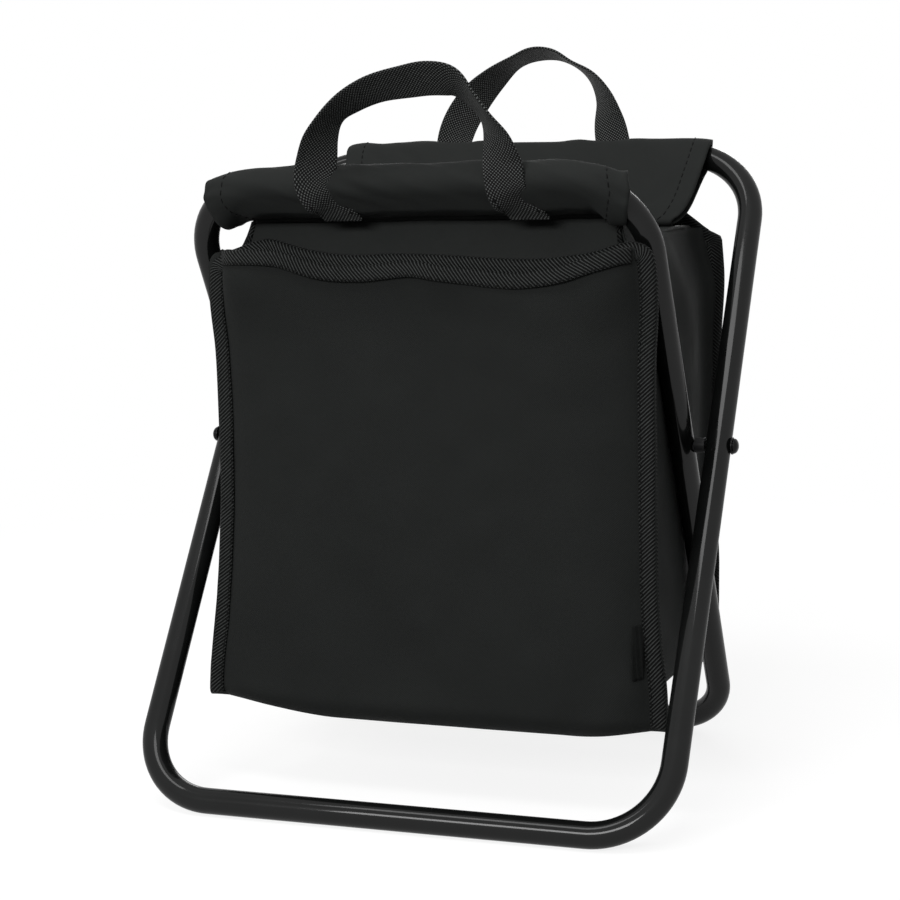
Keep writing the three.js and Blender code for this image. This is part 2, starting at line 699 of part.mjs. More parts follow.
const bridgeFoot = sliderTop - SLIDER_WALL / 2;
const bridgeTop = sliderTop + BRIDGE_HEIGHT;
const bridgeOutline = outline([
  [sliderX - bridgeHalf, bridgeFoot],
  [sliderX + bridgeHalf, bridgeFoot],
  [sliderX + bridgeHalf, bridgeTop],
  [sliderX - bridgeHalf, bridgeTop],
]);
bridgeOutline.holes.push(
  outline([
    [sliderX - bridgeHalf + BRIDGE_BAR, sliderTop],
    [sliderX - bridgeHalf + BRIDGE_BAR, bridgeTop - BRIDGE_BAR],
    [sliderX + bridgeHalf - BRIDGE_BAR, bridgeTop - BRIDGE_BAR],
    [sliderX + bridgeHalf - BRIDGE_BAR, sliderTop],
  ]),
);
const bridge = uprightPlate(bridgeOutline, zipY - BRIDGE_WIDTH / 2, zipY + BRIDGE_WIDTH / 2);
piece('zip_slider', geometryOf(solidOf(sliderBody).add(solidOf(bridge))), rivetBlack);

// Zip pull: its end bar lies in the bridge, near the bridge's outer post
const pullZ = (sliderTop + bridgeTop - BRIDGE_BAR) / 2;
const pullX = sliderX + bridgeHalf - BRIDGE_BAR - SEAT_GAP - PULL_BAR / 2;
const pullOutline = roundedRectangle(
  pullX - PULL_BAR / 2,
  -PULL_WIDTH / 2,
  pullX - PULL_BAR / 2 + PULL_LENGTH,
  PULL_WIDTH / 2,
  PULL_BAR / 2,
);
const eyeHalf = BRIDGE_WIDTH / 2 + SEAT_GAP;
pullOutline.holes.push(
  outline([
    [pullX + PULL_BAR / 2, -eyeHalf],
    [pullX + PULL_BAR / 2, eyeHalf],
    [pullX + PULL_BAR / 2 + PULL_EYE, eyeHalf],
    [pullX + PULL_BAR / 2 + PULL_EYE, -eyeHalf],
  ]),
);
const pull = new THREE.ExtrudeGeometry(pullOutline, {
  depth: PULL_THICKNESS,
  bevelEnabled: false,
  curveSegments: CORNER_STEPS,
}).translate(0, zipY, pullZ - PULL_THICKNESS / 2);
piece('zip_pull', pull, rivetBlack);

// Pocket: a shallow bulging tray on the front panel, open at its top
const pocketHalf = panelHalf - BINDING_WIDTH - POCKET_MARGIN;
const pocketFoot = BINDING_WIDTH + SEAT_GAP;
const pocketTop = PANEL_HEIGHT - BINDING_WIDTH - POCKET_TOP_DROP;

/** A tray's outer form, bulging forward from the front panel, inset all round by a distance. */
function pocketForm(inset, top) {
  const slope = POCKET_SLOPE + inset;
  const rectangle = roundedRectangle(
    slope - pocketHalf,
    pocketFoot + slope,
    pocketHalf - slope,
    top - POCKET_SLOPE,
    POCKET_CORNER,
  );
  const depth = POCKET_BULGE - inset;
  const geometry = new THREE.ExtrudeGeometry(rectangle, {
    depth: depth / 2,
    bevelEnabled: true,
    bevelThickness: depth / 2,
    bevelSize: POCKET_SLOPE,
    bevelSegments: 1,
    curveSegments: CORNER_STEPS,
  });
  return solidOf(geometry.rotateX(Math.PI / 2).translate(0, -SEAT_GAP, 0));
}

const pocketSpace = solidOf(block([-panelHalf, -2 * POCKET_BULGE, 0], [panelHalf, -SEAT_GAP, pocketTop]));
const pocketWall = pocketForm(0, pocketTop + 2 * POCKET_SLOPE).intersect(pocketSpace);
const pocketRoom = pocketForm(CLOTH, pocketTop + 4 * POCKET_SLOPE);
piece('pocket_panel', geometryOf(pocketWall.subtract(pocketRoom)), clothBlack, frontWall);

// Tape folded over the pocket's mouth
const pocketFace = -SEAT_GAP - POCKET_BULGE;
const mouthHalf = pocketHalf - POCKET_SLOPE - 2 * CLOTH;
const tapeOut = SEAT_GAP + BINDING_THICKNESS;
const mouthOutline = outline([
  [pocketFace - tapeOut, pocketTop - MOUTH_BINDING_HEIGHT],
  [pocketFace - SEAT_GAP, pocketTop - MOUTH_BINDING_HEIGHT],
  [pocketFace - SEAT_GAP, pocketTop + SEAT_GAP],
  [pocketFace + CLOTH + SEAT_GAP, pocketTop + SEAT_GAP],
  [pocketFace + CLOTH + SEAT_GAP, pocketTop - MOUTH_BINDING_HEIGHT],
  [pocketFace + CLOTH + tapeOut, pocketTop - MOUTH_BINDING_HEIGHT],
  [pocketFace + CLOTH + tapeOut, pocketTop + tapeOut],
  [pocketFace - tapeOut, pocketTop + tapeOut],
]);
piece('pocket_mouth_binding', sidePlate(mouthOutline, -mouthHalf, mouthHalf), bindingBlack, frontWall);

// Woven tag, flat on the pocket's face beside its right slope
const tagFace = pocketFace - SEAT_GAP;
piece(
  'side_tag',
  block(
    [mouthHalf - TAG_WIDTH, tagFace - TAG_THICKNESS, pocketFoot + TAG_RISE],
    [mouthHalf, tagFace, pocketFoot + TAG_RISE + TAG_HEIGHT],
  ),
  webbingBlack,
  frontWall,
);

/** Outline round several circles, as support points at even angles, so that sections match one for one. */
function aroundCircles(circles) {
  const points = [];
  for (let side = 0; side < SLEEVE_SIDES; side += 1) {
    const angle = (side / SLEEVE_SIDES) * 2 * Math.PI;
    const outward = new THREE.Vector2(Math.cos(angle), Math.sin(angle));
    const reach = ({ centre, radius }) => centre.dot(outward) + radius;
    const far = circles.reduce((best, circle) => (reach(circle) > reach(best) ? circle : best));
    points.push(far.centre.clone().addScaledVector(outward, far.radius));
  }
  return points;
}

/** A hollow skin along X through matching outer and inner sections, open at both ends. */
function hollowLoft(sections) {
  const corners = [];
  for (const { x, outer, inner } of sections) {
    for (const point of [...outer, ...inner]) {
      corners.push(x, point.x, point.y);
    }
  }
  const count = SLEEVE_SIDES;
  const at = (station, layer, side) => station * 2 * count + layer * count + (side % count);
  const faces = [];
  const quad = (a, b, c, d) => faces.push(a, b, c, a, c, d);
  const last = sections.length - 1;
  for (let side = 0; side < count; side += 1) {
    const next = side + 1;
    for (let station = 0; station < last; station += 1) {
      const to = station + 1;
      quad(at(station, 0, side), at(station, 0, next), at(to, 0, next), at(to, 0, side));
      quad(at(station, 1, side), at(to, 1, side), at(to, 1, next), at(station, 1, next));
    }
    quad(at(0, 0, side), at(0, 1, side), at(0, 1, next), at(0, 0, next));
    quad(at(last, 0, side), at(last, 0, next), at(last, 1, next), at(last, 1, side));
  }
  const geometry = new THREE.BufferGeometry();
  geometry.setAttribute('position', new THREE.Float32BufferAttribute(corners, 3));
  geometry.setIndex(faces);
  geometry.computeVertexNormals();
  return geometry;
}

/** A sleeve round a top bar, drawn down to its seam, and deeper at its ends where the tube bends away. */
function barSleeve({ bar, seam, lean, halfWidth, bend }) {
  const legDown = new THREE.Vector2(Math.sin(lean), -Math.cos(lean));
  const bore = TUBE_RADIUS + SLEEVE_EASE;
  const bead = seam.clone().add(new THREE.Vector2(0, SEAM_LIFT));
  const sections = [];
  for (let station = 0; station < SLEEVE_STATIONS; station += 1) {
    const across = station / (SLEEVE_STATIONS - 1) - 0.5;
    const x = SLEEVE_SHIFT + SLEEVE_LENGTH * across;
    const inside = bend - TUBE_RADIUS;
    const intoBend = Math.min(Math.max(Math.abs(x) - (halfWidth - bend), 0), BEND_COVER_SHARE * inside);
    const drop = inside - Math.sqrt(inside * inside - intoBend * intoBend);
    const tube = bar.clone().addScaledVector(legDown, drop);
    const round = (thickness) =>
      aroundCircles([
        { centre: bar, radius: bore + thickness },
        { centre: tube, radius: bore + thickness },
        { centre: bead, radius: SEAM_BEAD - CLOTH + thickness },
      ]);
    sections.push({ x, outer: round(CLOTH), inner: round(0) });
  }
  return hollowLoft(sections);
}

piece(
  'front_sleeve',
  barSleeve({
    bar: frontBar,
    seam: frontSeam,
    lean: INNER_LEAN,
    halfWidth: INNER_WIDTH / 2,
    bend: INNER_TOP_BEND,
  }),
  clothBlack,
);
piece(
  'rear_sleeve',
  barSleeve({
    bar: rearBar,
    seam: rearSeam,
    lean: -OUTER_LEAN,
    halfWidth: outerWidth / 2,
    bend: OUTER_TOP_BEND,
  }),
  clothBlack,
);

/** A flat strap through stations, each with its middle and its half width and half thickness as vectors. */
function ribbon(stations) {
  const corners = [];
  for (const { middle, across, through } of stations) {
    const signs = [
      [1, 1],
      [-1, 1],
      [-1, -1],
      [1, -1],
    ];
    for (const [a, t] of signs) {
      corners.push(...middle.clone().addScaledVector(across, a).addScaledVector(through, t).toArray());
    }
  }
  const faces = [];
  const quad = (a, b, c, d) => faces.push(a, b, c, a, c, d);
  const last = stations.length - 1;
  for (let station = 0; station < last; station += 1) {
    for (let side = 0; side < 4; side += 1) {
      const next = (side + 1) % 4;
      quad(4 * station + side, 4 * station + next, 4 * station + 4 + next, 4 * station + 4 + side);
    }
  }
  quad(3, 2, 1, 0);
  quad(4 * last, 4 * last + 1, 4 * last + 2, 4 * last + 3);
  const geometry = new THREE.BufferGeometry();
  geometry.setAttribute('position', new THREE.Float32BufferAttribute(corners, 3));
  geometry.setIndex(faces);
  geometry.computeVertexNormals();
  return geometry;
}

/** A webbing handle: a flat arch with its feet under the sleeve; side is -1 in front, 1 at the rear. */
function webbingHandle({ bar, seam, side, shift, rise, lean }) {
  const stand = TUBE_RADIUS + SLEEVE_EASE + CLOTH + STRAP_GAP + STRAP_THICKNESS / 2;
  const toSeam = seam.clone().add(new THREE.Vector2(0, SEAM_LIFT)).sub(bar);
  const under = new THREE.Vector2(toSeam.y, -toSeam.x).normalize().multiplyScalar(-side);
  const underAngle = Math.atan2(under.y, under.x * side);
  const around = (turn) =>
    bar.clone().add(new THREE.Vector2(side * Math.cos(turn), Math.sin(turn)).multiplyScalar(stand));
  const tuck = around(underAngle).addScaledVector(toSeam, STRAP_TUCK_SHARE);
  const up = new THREE.Vector2(side * Math.sin(lean), Math.cos(lean));
  const shoulder = around(-lean);
  const turns = [underAngle, underAngle * 0.67 - lean * 0.33, underAngle * 0.33 - lean * 0.67];
  const side3 = (p) => new THREE.Vector3(0, p.x, p.y);
  const profile = new THREE.CatmullRomCurve3(
    [
      tuck,
      ...turns.map(around),
      shoulder,
      shoulder.clone().addScaledVector(up, rise / 2),
      shoulder.clone().addScaledVector(up, rise),
    ].map(side3),
    false,
    'chordal',
  );
  const length = profile.getLength();
  const archRadius = HANDLE_SPREAD / 2;
  const crown = length - STRAP_WIDTH / 2;
  const legLength = Math.max(crown - archRadius, STRAP_WIDTH);
  const archRise = crown - legLength;
  const stations = [];
  const addStation = (x, s, tangentX, tangentS) => {
    const u = Math.min(Math.max(s / length, 0), 1);
    const slope = profile.getTangentAt(u);
    const middle = profile.getPointAt(u).add(new THREE.Vector3(shift + x, 0, 0));
    const size = Math.hypot(tangentX, tangentS);
    const across = slope.clone().multiplyScalar(tangentX / size);
    across.x = -tangentS / size;
    const through = new THREE.Vector3(0, slope.z, -slope.y).multiplyScalar(-STRAP_THICKNESS / 2);
    stations.push({ middle, across: across.multiplyScalar(STRAP_WIDTH / 2), through });
  };
  const legSteps = STRAP_STEPS / 3;
  for (let step = 0; step < legSteps; step += 1) {
    addStation(-archRadius, (legLength * step) / legSteps, 0, 1);
  }
  for (let step = 0; step <= STRAP_STEPS; step += 1) {
    const turn = Math.PI * (1 - step / STRAP_STEPS);
    const [sin, cos] = [Math.sin(turn), Math.cos(turn)];
    addStation(archRadius * cos, legLength + archRise * sin, archRadius * sin, -archRise * cos);
  }
  for (let step = legSteps - 1; step >= 0; step -= 1) {
    addStation(archRadius, (legLength * step) / legSteps, 0, -1);
  }
  return ribbon(stations);
}

piece(
  'front_handle',
  webbingHandle({
    bar: frontBar,
    seam: frontSeam,
    side: -1,
    shift: FRONT_HANDLE_SHIFT,
    rise: FRONT_HANDLE_RISE,
    lean: FRONT_HANDLE_LEAN,
  }),
  webbingBlack,
);
piece(
  'rear_handle',
  webbingHandle({
    bar: rearBar,
    seam: rearSeam,
    side: 1,
    shift: REAR_HANDLE_SHIFT,
    rise: REAR_HANDLE_RISE,
    lean: REAR_HANDLE_LEAN,
  }),
  webbingBlack,
);

// The origin goes under the middle of the whole stool
const middle = new THREE.Box3().setFromObject(stool, true).getCenter(new THREE.Vector3());
stool.position.set(-middle.x, -middle.y, 0);
stool.updateMatrixWorld(true);

export default stool;
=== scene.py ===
"""Looks of a folding cooler stool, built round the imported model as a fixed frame."""

import math

import bmesh
import bpy
import numpy as np
from bpy.props import FloatProperty, FloatVectorProperty, IntProperty, PointerProperty
from mathutils import Matrix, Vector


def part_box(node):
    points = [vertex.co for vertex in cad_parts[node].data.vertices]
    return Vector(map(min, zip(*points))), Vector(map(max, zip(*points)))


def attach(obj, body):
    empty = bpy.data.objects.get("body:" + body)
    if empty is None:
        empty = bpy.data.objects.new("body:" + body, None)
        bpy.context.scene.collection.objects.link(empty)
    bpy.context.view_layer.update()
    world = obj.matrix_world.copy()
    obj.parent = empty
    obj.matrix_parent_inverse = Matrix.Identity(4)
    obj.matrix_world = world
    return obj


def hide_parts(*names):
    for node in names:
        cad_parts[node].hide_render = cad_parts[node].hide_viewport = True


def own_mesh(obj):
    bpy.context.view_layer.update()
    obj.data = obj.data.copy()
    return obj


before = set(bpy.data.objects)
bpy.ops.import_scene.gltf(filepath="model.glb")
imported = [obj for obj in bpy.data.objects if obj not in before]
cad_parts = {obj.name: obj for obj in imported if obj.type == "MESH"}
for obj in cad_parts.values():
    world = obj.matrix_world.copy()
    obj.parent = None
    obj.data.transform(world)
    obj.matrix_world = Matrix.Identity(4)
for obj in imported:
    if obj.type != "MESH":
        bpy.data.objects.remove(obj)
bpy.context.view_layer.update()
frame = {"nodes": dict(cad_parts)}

bl_info = {
    "name": "Folding Cooler Stool",
    "version": (1, 0, 0),
    "blender": (4, 5, 0),
    "location": "3D View > Sidebar > Cooler Stool",
    "description": "Builds the frame, cooler bag, sleeves and handles of a folding cooler stool",
    "category": "Add Mesh",
}

TURN = 2 * math.pi
QUARTER = math.pi / 2


# Places that the frame gives


def corners(node):
    """The lowest and highest corner of a CAD node as two arrays."""
    low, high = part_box(node)
    return np.array(low, dtype=float), np.array(high, dtype=float)


def middle(node):
    """The middle of a CAD node's box."""
    low, high = corners(node)
    return (low + high) / 2


def sideways_span(node):
    """The least and the greatest distance of a CAD node's sides from the middle of the stool."""
    low, high = corners(node)
    return sorted((abs(low[0]), abs(high[0])))


def pivot_place():
    """The middle of the axis that both tube loops turn about."""
    return (middle("pivot_spacer_left") + middle("pivot_spacer_right")) / 2


# Small numeric helpers


NOISE_LATTICE = 64


def smoothstep(low, high, value):
    """Rises from 0 at low to 1 at high along 3t^2 - 2t^3."""
    t = np.clip((value - low) / (high - low), 0.0, 1.0)
    return t * t * (3.0 - 2.0 * t)


def bell(value, centre, spread):
    """A bell of height 1: e to minus the square of the distance from its centre, in spreads."""
    return np.exp(-(((value - centre) / spread) ** 2))


def full_turn(count):
    """Angles spaced evenly round a circle, the last one short of the first."""
    return np.linspace(0, TURN, count, endpoint=False)


def squared_off(wave, power):
    """A sine or cosine pushed out towards -1 and 1, so that a circle becomes a rounded square."""
    return np.sign(wave) * np.abs(wave) ** power


def unit(vectors):
    """Vectors scaled to length 1."""
    return vectors / np.maximum(np.linalg.norm(vectors, axis=-1, keepdims=True), 1e-12)


def soft_noise(x, y, pitch, seed):
    """Smooth noise from -1 to 1: seeded values on a square lattice, eased between its points."""
    size = NOISE_LATTICE
    table = np.random.default_rng(seed).uniform(-1, 1, (size, size))
    gx, gy = np.broadcast_arrays(x / pitch, y / pitch)
    ix, iy = np.floor(gx).astype(int), np.floor(gy).astype(int)
    fx, fy = smoothstep(0.0, 1.0, gx - ix), smoothstep(0.0, 1.0, gy - iy)
    near = table[ix % size, iy % size] * (1 - fx) + table[(ix + 1) % size, iy % size] * fx
    far = table[ix % size, (iy + 1) % size] * (1 - fx) + table[(ix + 1) % size, (iy + 1) % size] * fx
    return near * (1 - fy) + far * fy


def smooth_line(knots, values, at):
    """A smooth line through a few points: cubic pieces whose slopes come from the neighbours."""
    knots, values = np.asarray(knots, dtype=float), np.asarray(values, dtype=float)
    slopes = np.gradient(values, knots)
    i = np.clip(np.searchsorted(knots, at) - 1, 0, len(knots) - 2)
    step = knots[i + 1] - knots[i]
    t = np.clip((at - knots[i]) / step, 0.0, 1.0)
    return (
        (2 * t**3 - 3 * t**2 + 1) * values[i]
        + (t**3 - 2 * t**2 + t) * step * slopes[i]
        + (3 * t**2 - 2 * t**3) * values[i + 1]
        + (t**3 - t**2) * step * slopes[i + 1]
    )


def run_length(points):
    """Distance run along a line of points, from 0 at the first."""
    return np.concatenate([[0.0], np.cumsum(np.linalg.norm(np.diff(points, axis=0), axis=1))])


def interpolated(at, run, values):
    """Rows of values at some places along a run, straight between the known rows."""
    return np.stack([np.interp(at, run, values[:, k]) for k in range(values.shape[1])], axis=1)


def resample(points, count):
    """The same line with count points spaced evenly along it."""
    run = run_length(points)
    return interpolated(np.linspace(0.0, run[-1], count), run, points)


def eased(points, passes):
    """A line whose inner points move to the mean of themselves and their neighbours, some times over."""
    line = points.copy()
    for _ in range(passes):
        line[1:-1] = 0.25 * line[:-2] + 0.5 * line[1:-1] + 0.25 * line[2:]
    return line


def come_round(grid):
    """A grid whose first column stands again after its last."""
    return np.concatenate([grid, grid[:, :1]], axis=1)


def grid_normals(points, wrap=False):
    """Unit normals of a grid of points, from its differences down the rows and along the columns."""
    down = np.gradient(points, axis=0)
    if wrap:
        along = np.roll(points, -1, axis=1) - np.roll(points, 1, axis=1)
    else:
        along = np.gradient(points, axis=1)
    return unit(np.cross(down, along))


def outward(rings):
    """Unit normals of a grid whose rows are rings, turned away from each ring's middle."""
    normals = grid_normals(rings, wrap=True)
    away = rings - rings.mean(axis=1, keepdims=True)
    return normals * np.sign(np.sum(normals * away, axis=2, keepdims=True))


def grid_uv(points, wrap=False):
    """Texture places in metres: mean distance run along the columns and down the rows."""
    shown = come_round(points) if wrap else points
    across = np.linalg.norm(np.diff(shown, axis=1), axis=2).mean(axis=0)
    down = np.linalg.norm(np.diff(shown, axis=0), axis=2).mean(axis=1)
    u = np.concatenate([[0.0], np.cumsum(across)])
    v = np.concatenate([[0.0], np.cumsum(down)])
    return np.stack(np.meshgrid(u, v), axis=-1)


# Meshes from grids: each form is its vertices, its faces and the texture places of the faces' corners


def numbered(rows, columns):
    """A grid of vertex numbers, counted along its rows."""
    return np.arange(rows * columns).reshape(rows, columns)


def quads(index):
    """The four-cornered faces of a grid of vertex numbers."""
    return np.stack(
        [index[:-1, :-1], index[1:, :-1], index[1:, 1:], index[:-1, 1:]], axis=-1
    ).reshape(-1, 4)


def strip(first, second):
    """Faces between two lines of vertex numbers."""
    return np.stack([first[:-1], first[1:], second[1:], second[:-1]], axis=-1)


def shell(points, thickness, wrap=False):
    """A closed skin of even thickness over a grid, half on each side of it, with its rims closed."""
    rows, columns = points.shape[:2]
    half = grid_normals(points, wrap) * (thickness / 2)
    verts = np.concatenate([(points + half).reshape(-1, 3), (points - half).reshape(-1, 3)])
    uv = grid_uv(points, wrap)
    index = numbered(rows, columns)
    if wrap:
        index = come_round(index)
    under = index + rows * columns
    place = numbered(*uv.shape[:2])
    faces = [quads(index), quads(under)[:, ::-1], strip(index[0], under[0]), strip(index[-1], under[-1])]
    spots = [quads(place), quads(place)[:, ::-1], strip(place[0], place[0]), strip(place[-1], place[-1])]
    if not wrap:
        faces += [strip(index[:, 0], under[:, 0]), strip(index[:, -1], under[:, -1])]
        spots += [strip(place[:, 0], place[:, 0]), strip(place[:, -1], place[:, -1])]
    return verts, np.concatenate(faces).tolist(), uv.reshape(-1, 2)[np.concatenate(spots).ravel()]


def swept(points, closed=False, uv=None):
    """A surface whose rows are rings. Its path closes on itself, or both end rings are capped."""
    index = come_round(numbered(*points.shape[:2]))
    shown = np.concatenate([points, points[:1]]) if closed else points
    if closed:
        index = np.concatenate([index, index[:1]])
    uv = grid_uv(shown, wrap=True) if uv is None else uv
    place = numbered(*uv.shape[:2])
    faces, spots = quads(index).tolist(), quads(place).ravel()
    if not closed:
        faces += [index[0, :-1][::-1].tolist(), index[-1, :-1].tolist()]
        spots = np.concatenate([spots, place[0, :-1][::-1], place[-1, :-1]])
    return points.reshape(-1, 3), faces, uv.reshape(-1, 2)[spots]


def repeated(shape, faces, places, axes):
    """Copies of a small shape, without texture places: axes holds each copy's three directions."""
    verts = places[:, None, :] + np.einsum("vk,nkd->nvd", shape, axes)
    shift = (np.arange(len(places)) * len(shape))[:, None]
    made = [(np.asarray(face)[None, :] + shift).tolist() for face in faces]
    return verts.reshape(-1, 3), [row for group in made for row in group], None


def bead(length, radius, sides=6):
    """A small spindle along its first axis: three rings between two tips."""
    turn = full_turn(sides)
    rings = [(-0.32, 0.85), (0.0, 1.0), (0.32, 0.85)]
    verts = [
        np.stack([np.full(sides, x * length), radius * r * np.cos(turn), radius * r * np.sin(turn)], axis=1)
        for x, r in rings
    ]
    verts = np.concatenate(verts + [np.array([[-length / 2, 0, 0], [length / 2, 0, 0]])])
    index = come_round(numbered(len(rings), sides))
    first_tip, last_tip = len(verts) - 2, len(verts) - 1
    faces = quads(index).tolist()
    faces += [[first_tip, index[0, k + 1], index[0, k]] for k in range(sides)]
    faces += [[last_tip, index[-1, k], index[-1, k + 1]] for k in range(sides)]
    return verts, [[int(n) for n in face] for face in faces]


def make_piece(name, form, material, body, nodes=()):
    """Makes a mesh object whose place is in its mesh, turns its faces outward and ties it to a CAD body."""
    verts, faces, uv = form
    mesh = bpy.data.meshes.new(name)
    mesh.from_pydata(np.asarray(verts).tolist(), [], faces)
    if uv is not None:
        mesh.uv_layers.new(name="cloth").data.foreach_set("uv", np.asarray(uv, dtype=np.float32).ravel())
    made = bmesh.new()
    made.from_mesh(mesh)
    bmesh.ops.recalc_face_normals(made, faces=made.faces)
    made.to_mesh(mesh)
    made.free()
    mesh.polygons.foreach_set("use_smooth", np.full(len(mesh.polygons), True))
    mesh.update()
    mesh.materials.append(material)
    piece = bpy.data.objects.new(name, mesh)
    bpy.context.scene.collection.objects.link(piece)
    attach(piece, body)
    if nodes:
        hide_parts(*nodes)
    return piece


def fold_with_bag(piece):
    """Gives a soft piece of the bag its own copy of its mesh."""
    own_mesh(piece)


def bag_piece(name, form, material, nodes):
    """Makes a piece that rides on the bag, with its own copy of its mesh."""
    piece = make_piece(name, form, material, "bag", nodes)
    fold_with_bag(piece)
    return piece


def refinish(node, material):
    """Gives a CAD node that stays in view a material of the scene."""
    piece = frame["nodes"][node]
    piece.data.materials.clear()
    piece.data.materials.append(material)
    return piece


# Settings


def length_of(name, text, default):
    """A length in metres that the sidebar can show."""
    return FloatProperty(name=name, description=text, default=default, unit="LENGTH", precision=4)


def colour_of(name, text, default):
    """A colour that the sidebar can show."""
    return FloatVectorProperty(
        name=name, description=text, default=default, size=4, min=0.0, max=1.0, subtype="COLOR"
    )


class StoolFrameSizes(bpy.types.PropertyGroup):
    """Sizes of the two bent tube loops and their pivots."""

    tube_radius: length_of("Tube radius", "Radius of the round tube", 0.008)
    inner_top_bend: length_of("Inner top bend", "Bend radius beside the front top bar", 0.052)
    inner_foot_bend: length_of("Inner foot bend", "Bend radius beside the rear foot bar", 0.036)
    outer_top_bend: length_of("Outer top bend", "Bend radius beside the rear top bar", 0.054)
    outer_foot_bend: length_of("Outer foot bend", "Bend radius beside the front foot bar", 0.047)
    rivet_shank: length_of("Rivet shank", "Radius of the rivet between its heads", 0.003)
    rivet_head: length_of("Rivet head", "Radius of the domed head", 0.0049)
    rivet_head_height: length_of("Rivet head height", "Height of the domed head", 0.0032)
    rivet_tail: length_of("Rivet tail", "Radius of the clenched tail", 0.0044)
    rivet_tail_height: length_of("Rivet tail height", "Height of the clenched tail", 0.0022)
    tube_sides: IntProperty(name="Tube sides", description="Points round the tube", default=40)


class StoolBagSizes(bpy.types.PropertyGroup):
    """Sizes of the soft cooler bag."""

    panel_half: length_of("Panel half width", "Half width of the front and rear panels", 0.1425)
    panel_flare: length_of("Foot flare", "How much wider each side is at the foot", 0.0100)
    panel_shift: length_of("Panel shift", "How far the slack bag has slipped to the right", 0.0065)
    panel_corner: length_of("Panel corner", "Radius of the top corners", 0.0105)
    floor: length_of("Floor", "Height of the rolled lower edge", 0.0475)
    front_top: length_of("Front top", "Height of the front panel's bound edge at its middle", 0.3400)
    rear_top: length_of("Rear top", "Height of the rear panel's bound edge", 0.3515)
    pocket_depth: length_of("Pocket depth", "How far the pocket stands out", 0.0125)
    pocket_border: length_of("Pocket border", "Width of the pocket's flat edge under the side tape", 0.0100)
    pocket_mouth: length_of("Pocket mouth", "Height of the pocket's edge at its ends", 0.3450)
    mouth_sag: length_of("Mouth sag", "How far the pocket's slack edge hangs", 0.0100)
    roll: length_of("Roll", "Radius of the lower edge", 0.0160)
    gusset_half: length_of("Gusset half width", "Half the width between the side gussets", 0.1300)
    gusset_swell: length_of("Gusset swell", "How far the slack sides swell above the pivots' rear", 0.0070)
    ridge_narrowing: FloatProperty(
        name="Ridge narrowing", description="Share by which the bag narrows to its ridge", default=0.085
    )
    cloth: length_of("Cloth", "Thickness of the outer cloth", 0.0012)
    fold_middle: length_of(
        "Fold middle", "Depth of the zip, to which the bag flattens", middle("zip_coil")[1]
    )
    fold_keep: FloatProperty(name="Fold keep", description="Depth left when the legs close", default=0.45)


class StoolTrimSizes(bpy.types.PropertyGroup):
    """Sizes of tapes, stitches, sleeves and handles."""

    binding_width: length_of("Binding width", "Visible width of the folded edge tape", 0.0100)
    binding_thickness: length_of("Binding thickness", "Thickness of the edge tape", 0.0010)
    mouth_width: length_of("Mouth tape width", "Visible width of the tape on the pocket's mouth", 0.0088)
    stitch: length_of("Stitch", "Length of one stitch", 0.0036)
    stitch_pitch: length_of("Stitch pitch", "Distance from stitch to stitch", 0.0052)
    thread: length_of("Thread", "Radius of the thread", 0.00045)
    strap_width: length_of("Strap width", "Width of the handle webbing", 0.0250)
    strap_thickness: length_of("Strap thickness", "Thickness of the handle webbing", 0.0018)
    sleeve_cloth: length_of("Sleeve cloth", "Thickness of the sleeve cloth", 0.0013)
    sleeve_ease: length_of("Sleeve ease", "Room between a sleeve and its bar", 0.0009)
    coil_pitch: length_of("Coil pitch", "Distance from tooth to tooth of the zip", 0.0016)


class StoolFinishes(bpy.types.PropertyGroup):
    """Colours of the stool's materials."""

    # The cloth's own black, and a painted highlight for its raised threads that a random mottle also mixes
    # in.
    cloth: colour_of("Cloth", "Matt woven polyester", (0.0098, 0.0105, 0.0101, 1))
    cloth_thread_highlight: colour_of("Cloth highlight", "Raised threads of the cloth", (0.0200, 0.0213, 0.0206, 1))
    # The tape's own black, darkest as painted shade in the grooves, and a painted highlight for its ribs.
    tape: colour_of("Tape", "Grooves of the ribbed edge tape", (0.0025, 0.0027, 0.0026, 1))
    tape_rib_highlight: colour_of("Tape rib", "Ribs of the edge tape", (0.0500, 0.0530, 0.0515, 1))
    # The webbing's own black, darkest as painted shade in the grooves, and a painted highlight for its
    # raised yarns.
    webbing: colour_of("Webbing", "Grooves of the handle webbing", (0.0026, 0.0028, 0.0027, 1))
    webbing_yarn_highlight: colour_of("Webbing yarn", "Raised yarns of the webbing", (0.1230, 0.1290, 0.1260, 1))
    tube: colour_of("Tube", "Gloss black coating", (0.0044, 0.0047, 0.0046, 1))
    plastic: colour_of("Plastic", "Black nylon, blackened rivets and zip metal", (0.0100, 0.0100, 0.0105, 1))
    steel: colour_of("Steel", "Bare steel of the joint plugs", (0.32, 0.32, 0.33, 1))
    liner: colour_of("Liner", "Silvered film inside the bag", (0.62, 0.63, 0.65, 1))
    foam: colour_of("Foam", "White insulating foam", (0.80, 0.80, 0.78, 1))
    floor: colour_of("Floor", "Studio floor", (0.24, 0.24, 0.24, 1))


class StoolSettings(bpy.types.PropertyGroup):
    """All settings of the folding cooler stool."""

    frame: PointerProperty(type=StoolFrameSizes)
    bag: PointerProperty(type=StoolBagSizes)
    trim: PointerProperty(type=StoolTrimSizes)
    finish: PointerProperty(type=StoolFinishes)


# Materials


MIX_SHARE, MIX_FIRST, MIX_SECOND, MIX_COLOUR = 0, 6, 7, 2
SHEEN = 0.015


def lit(colour, share):
    """A colour made lighter or darker by a share."""
    return tuple(min(1.0, c * share) for c in colour[:3]) + (1.0,)


def put(tree, kind, inputs=None, **settings):
    """Adds a node to a tree, sets it, and links or sets its inputs."""
    made = tree.nodes.new(kind)
    for key, value in settings.items():
        setattr(made, key, value)
    for socket, value in (inputs or {}).items():
        if isinstance(value, bpy.types.NodeSocket):
            tree.links.new(value, made.inputs[socket])
        else:
            made.inputs[socket].default_value = value
    return made


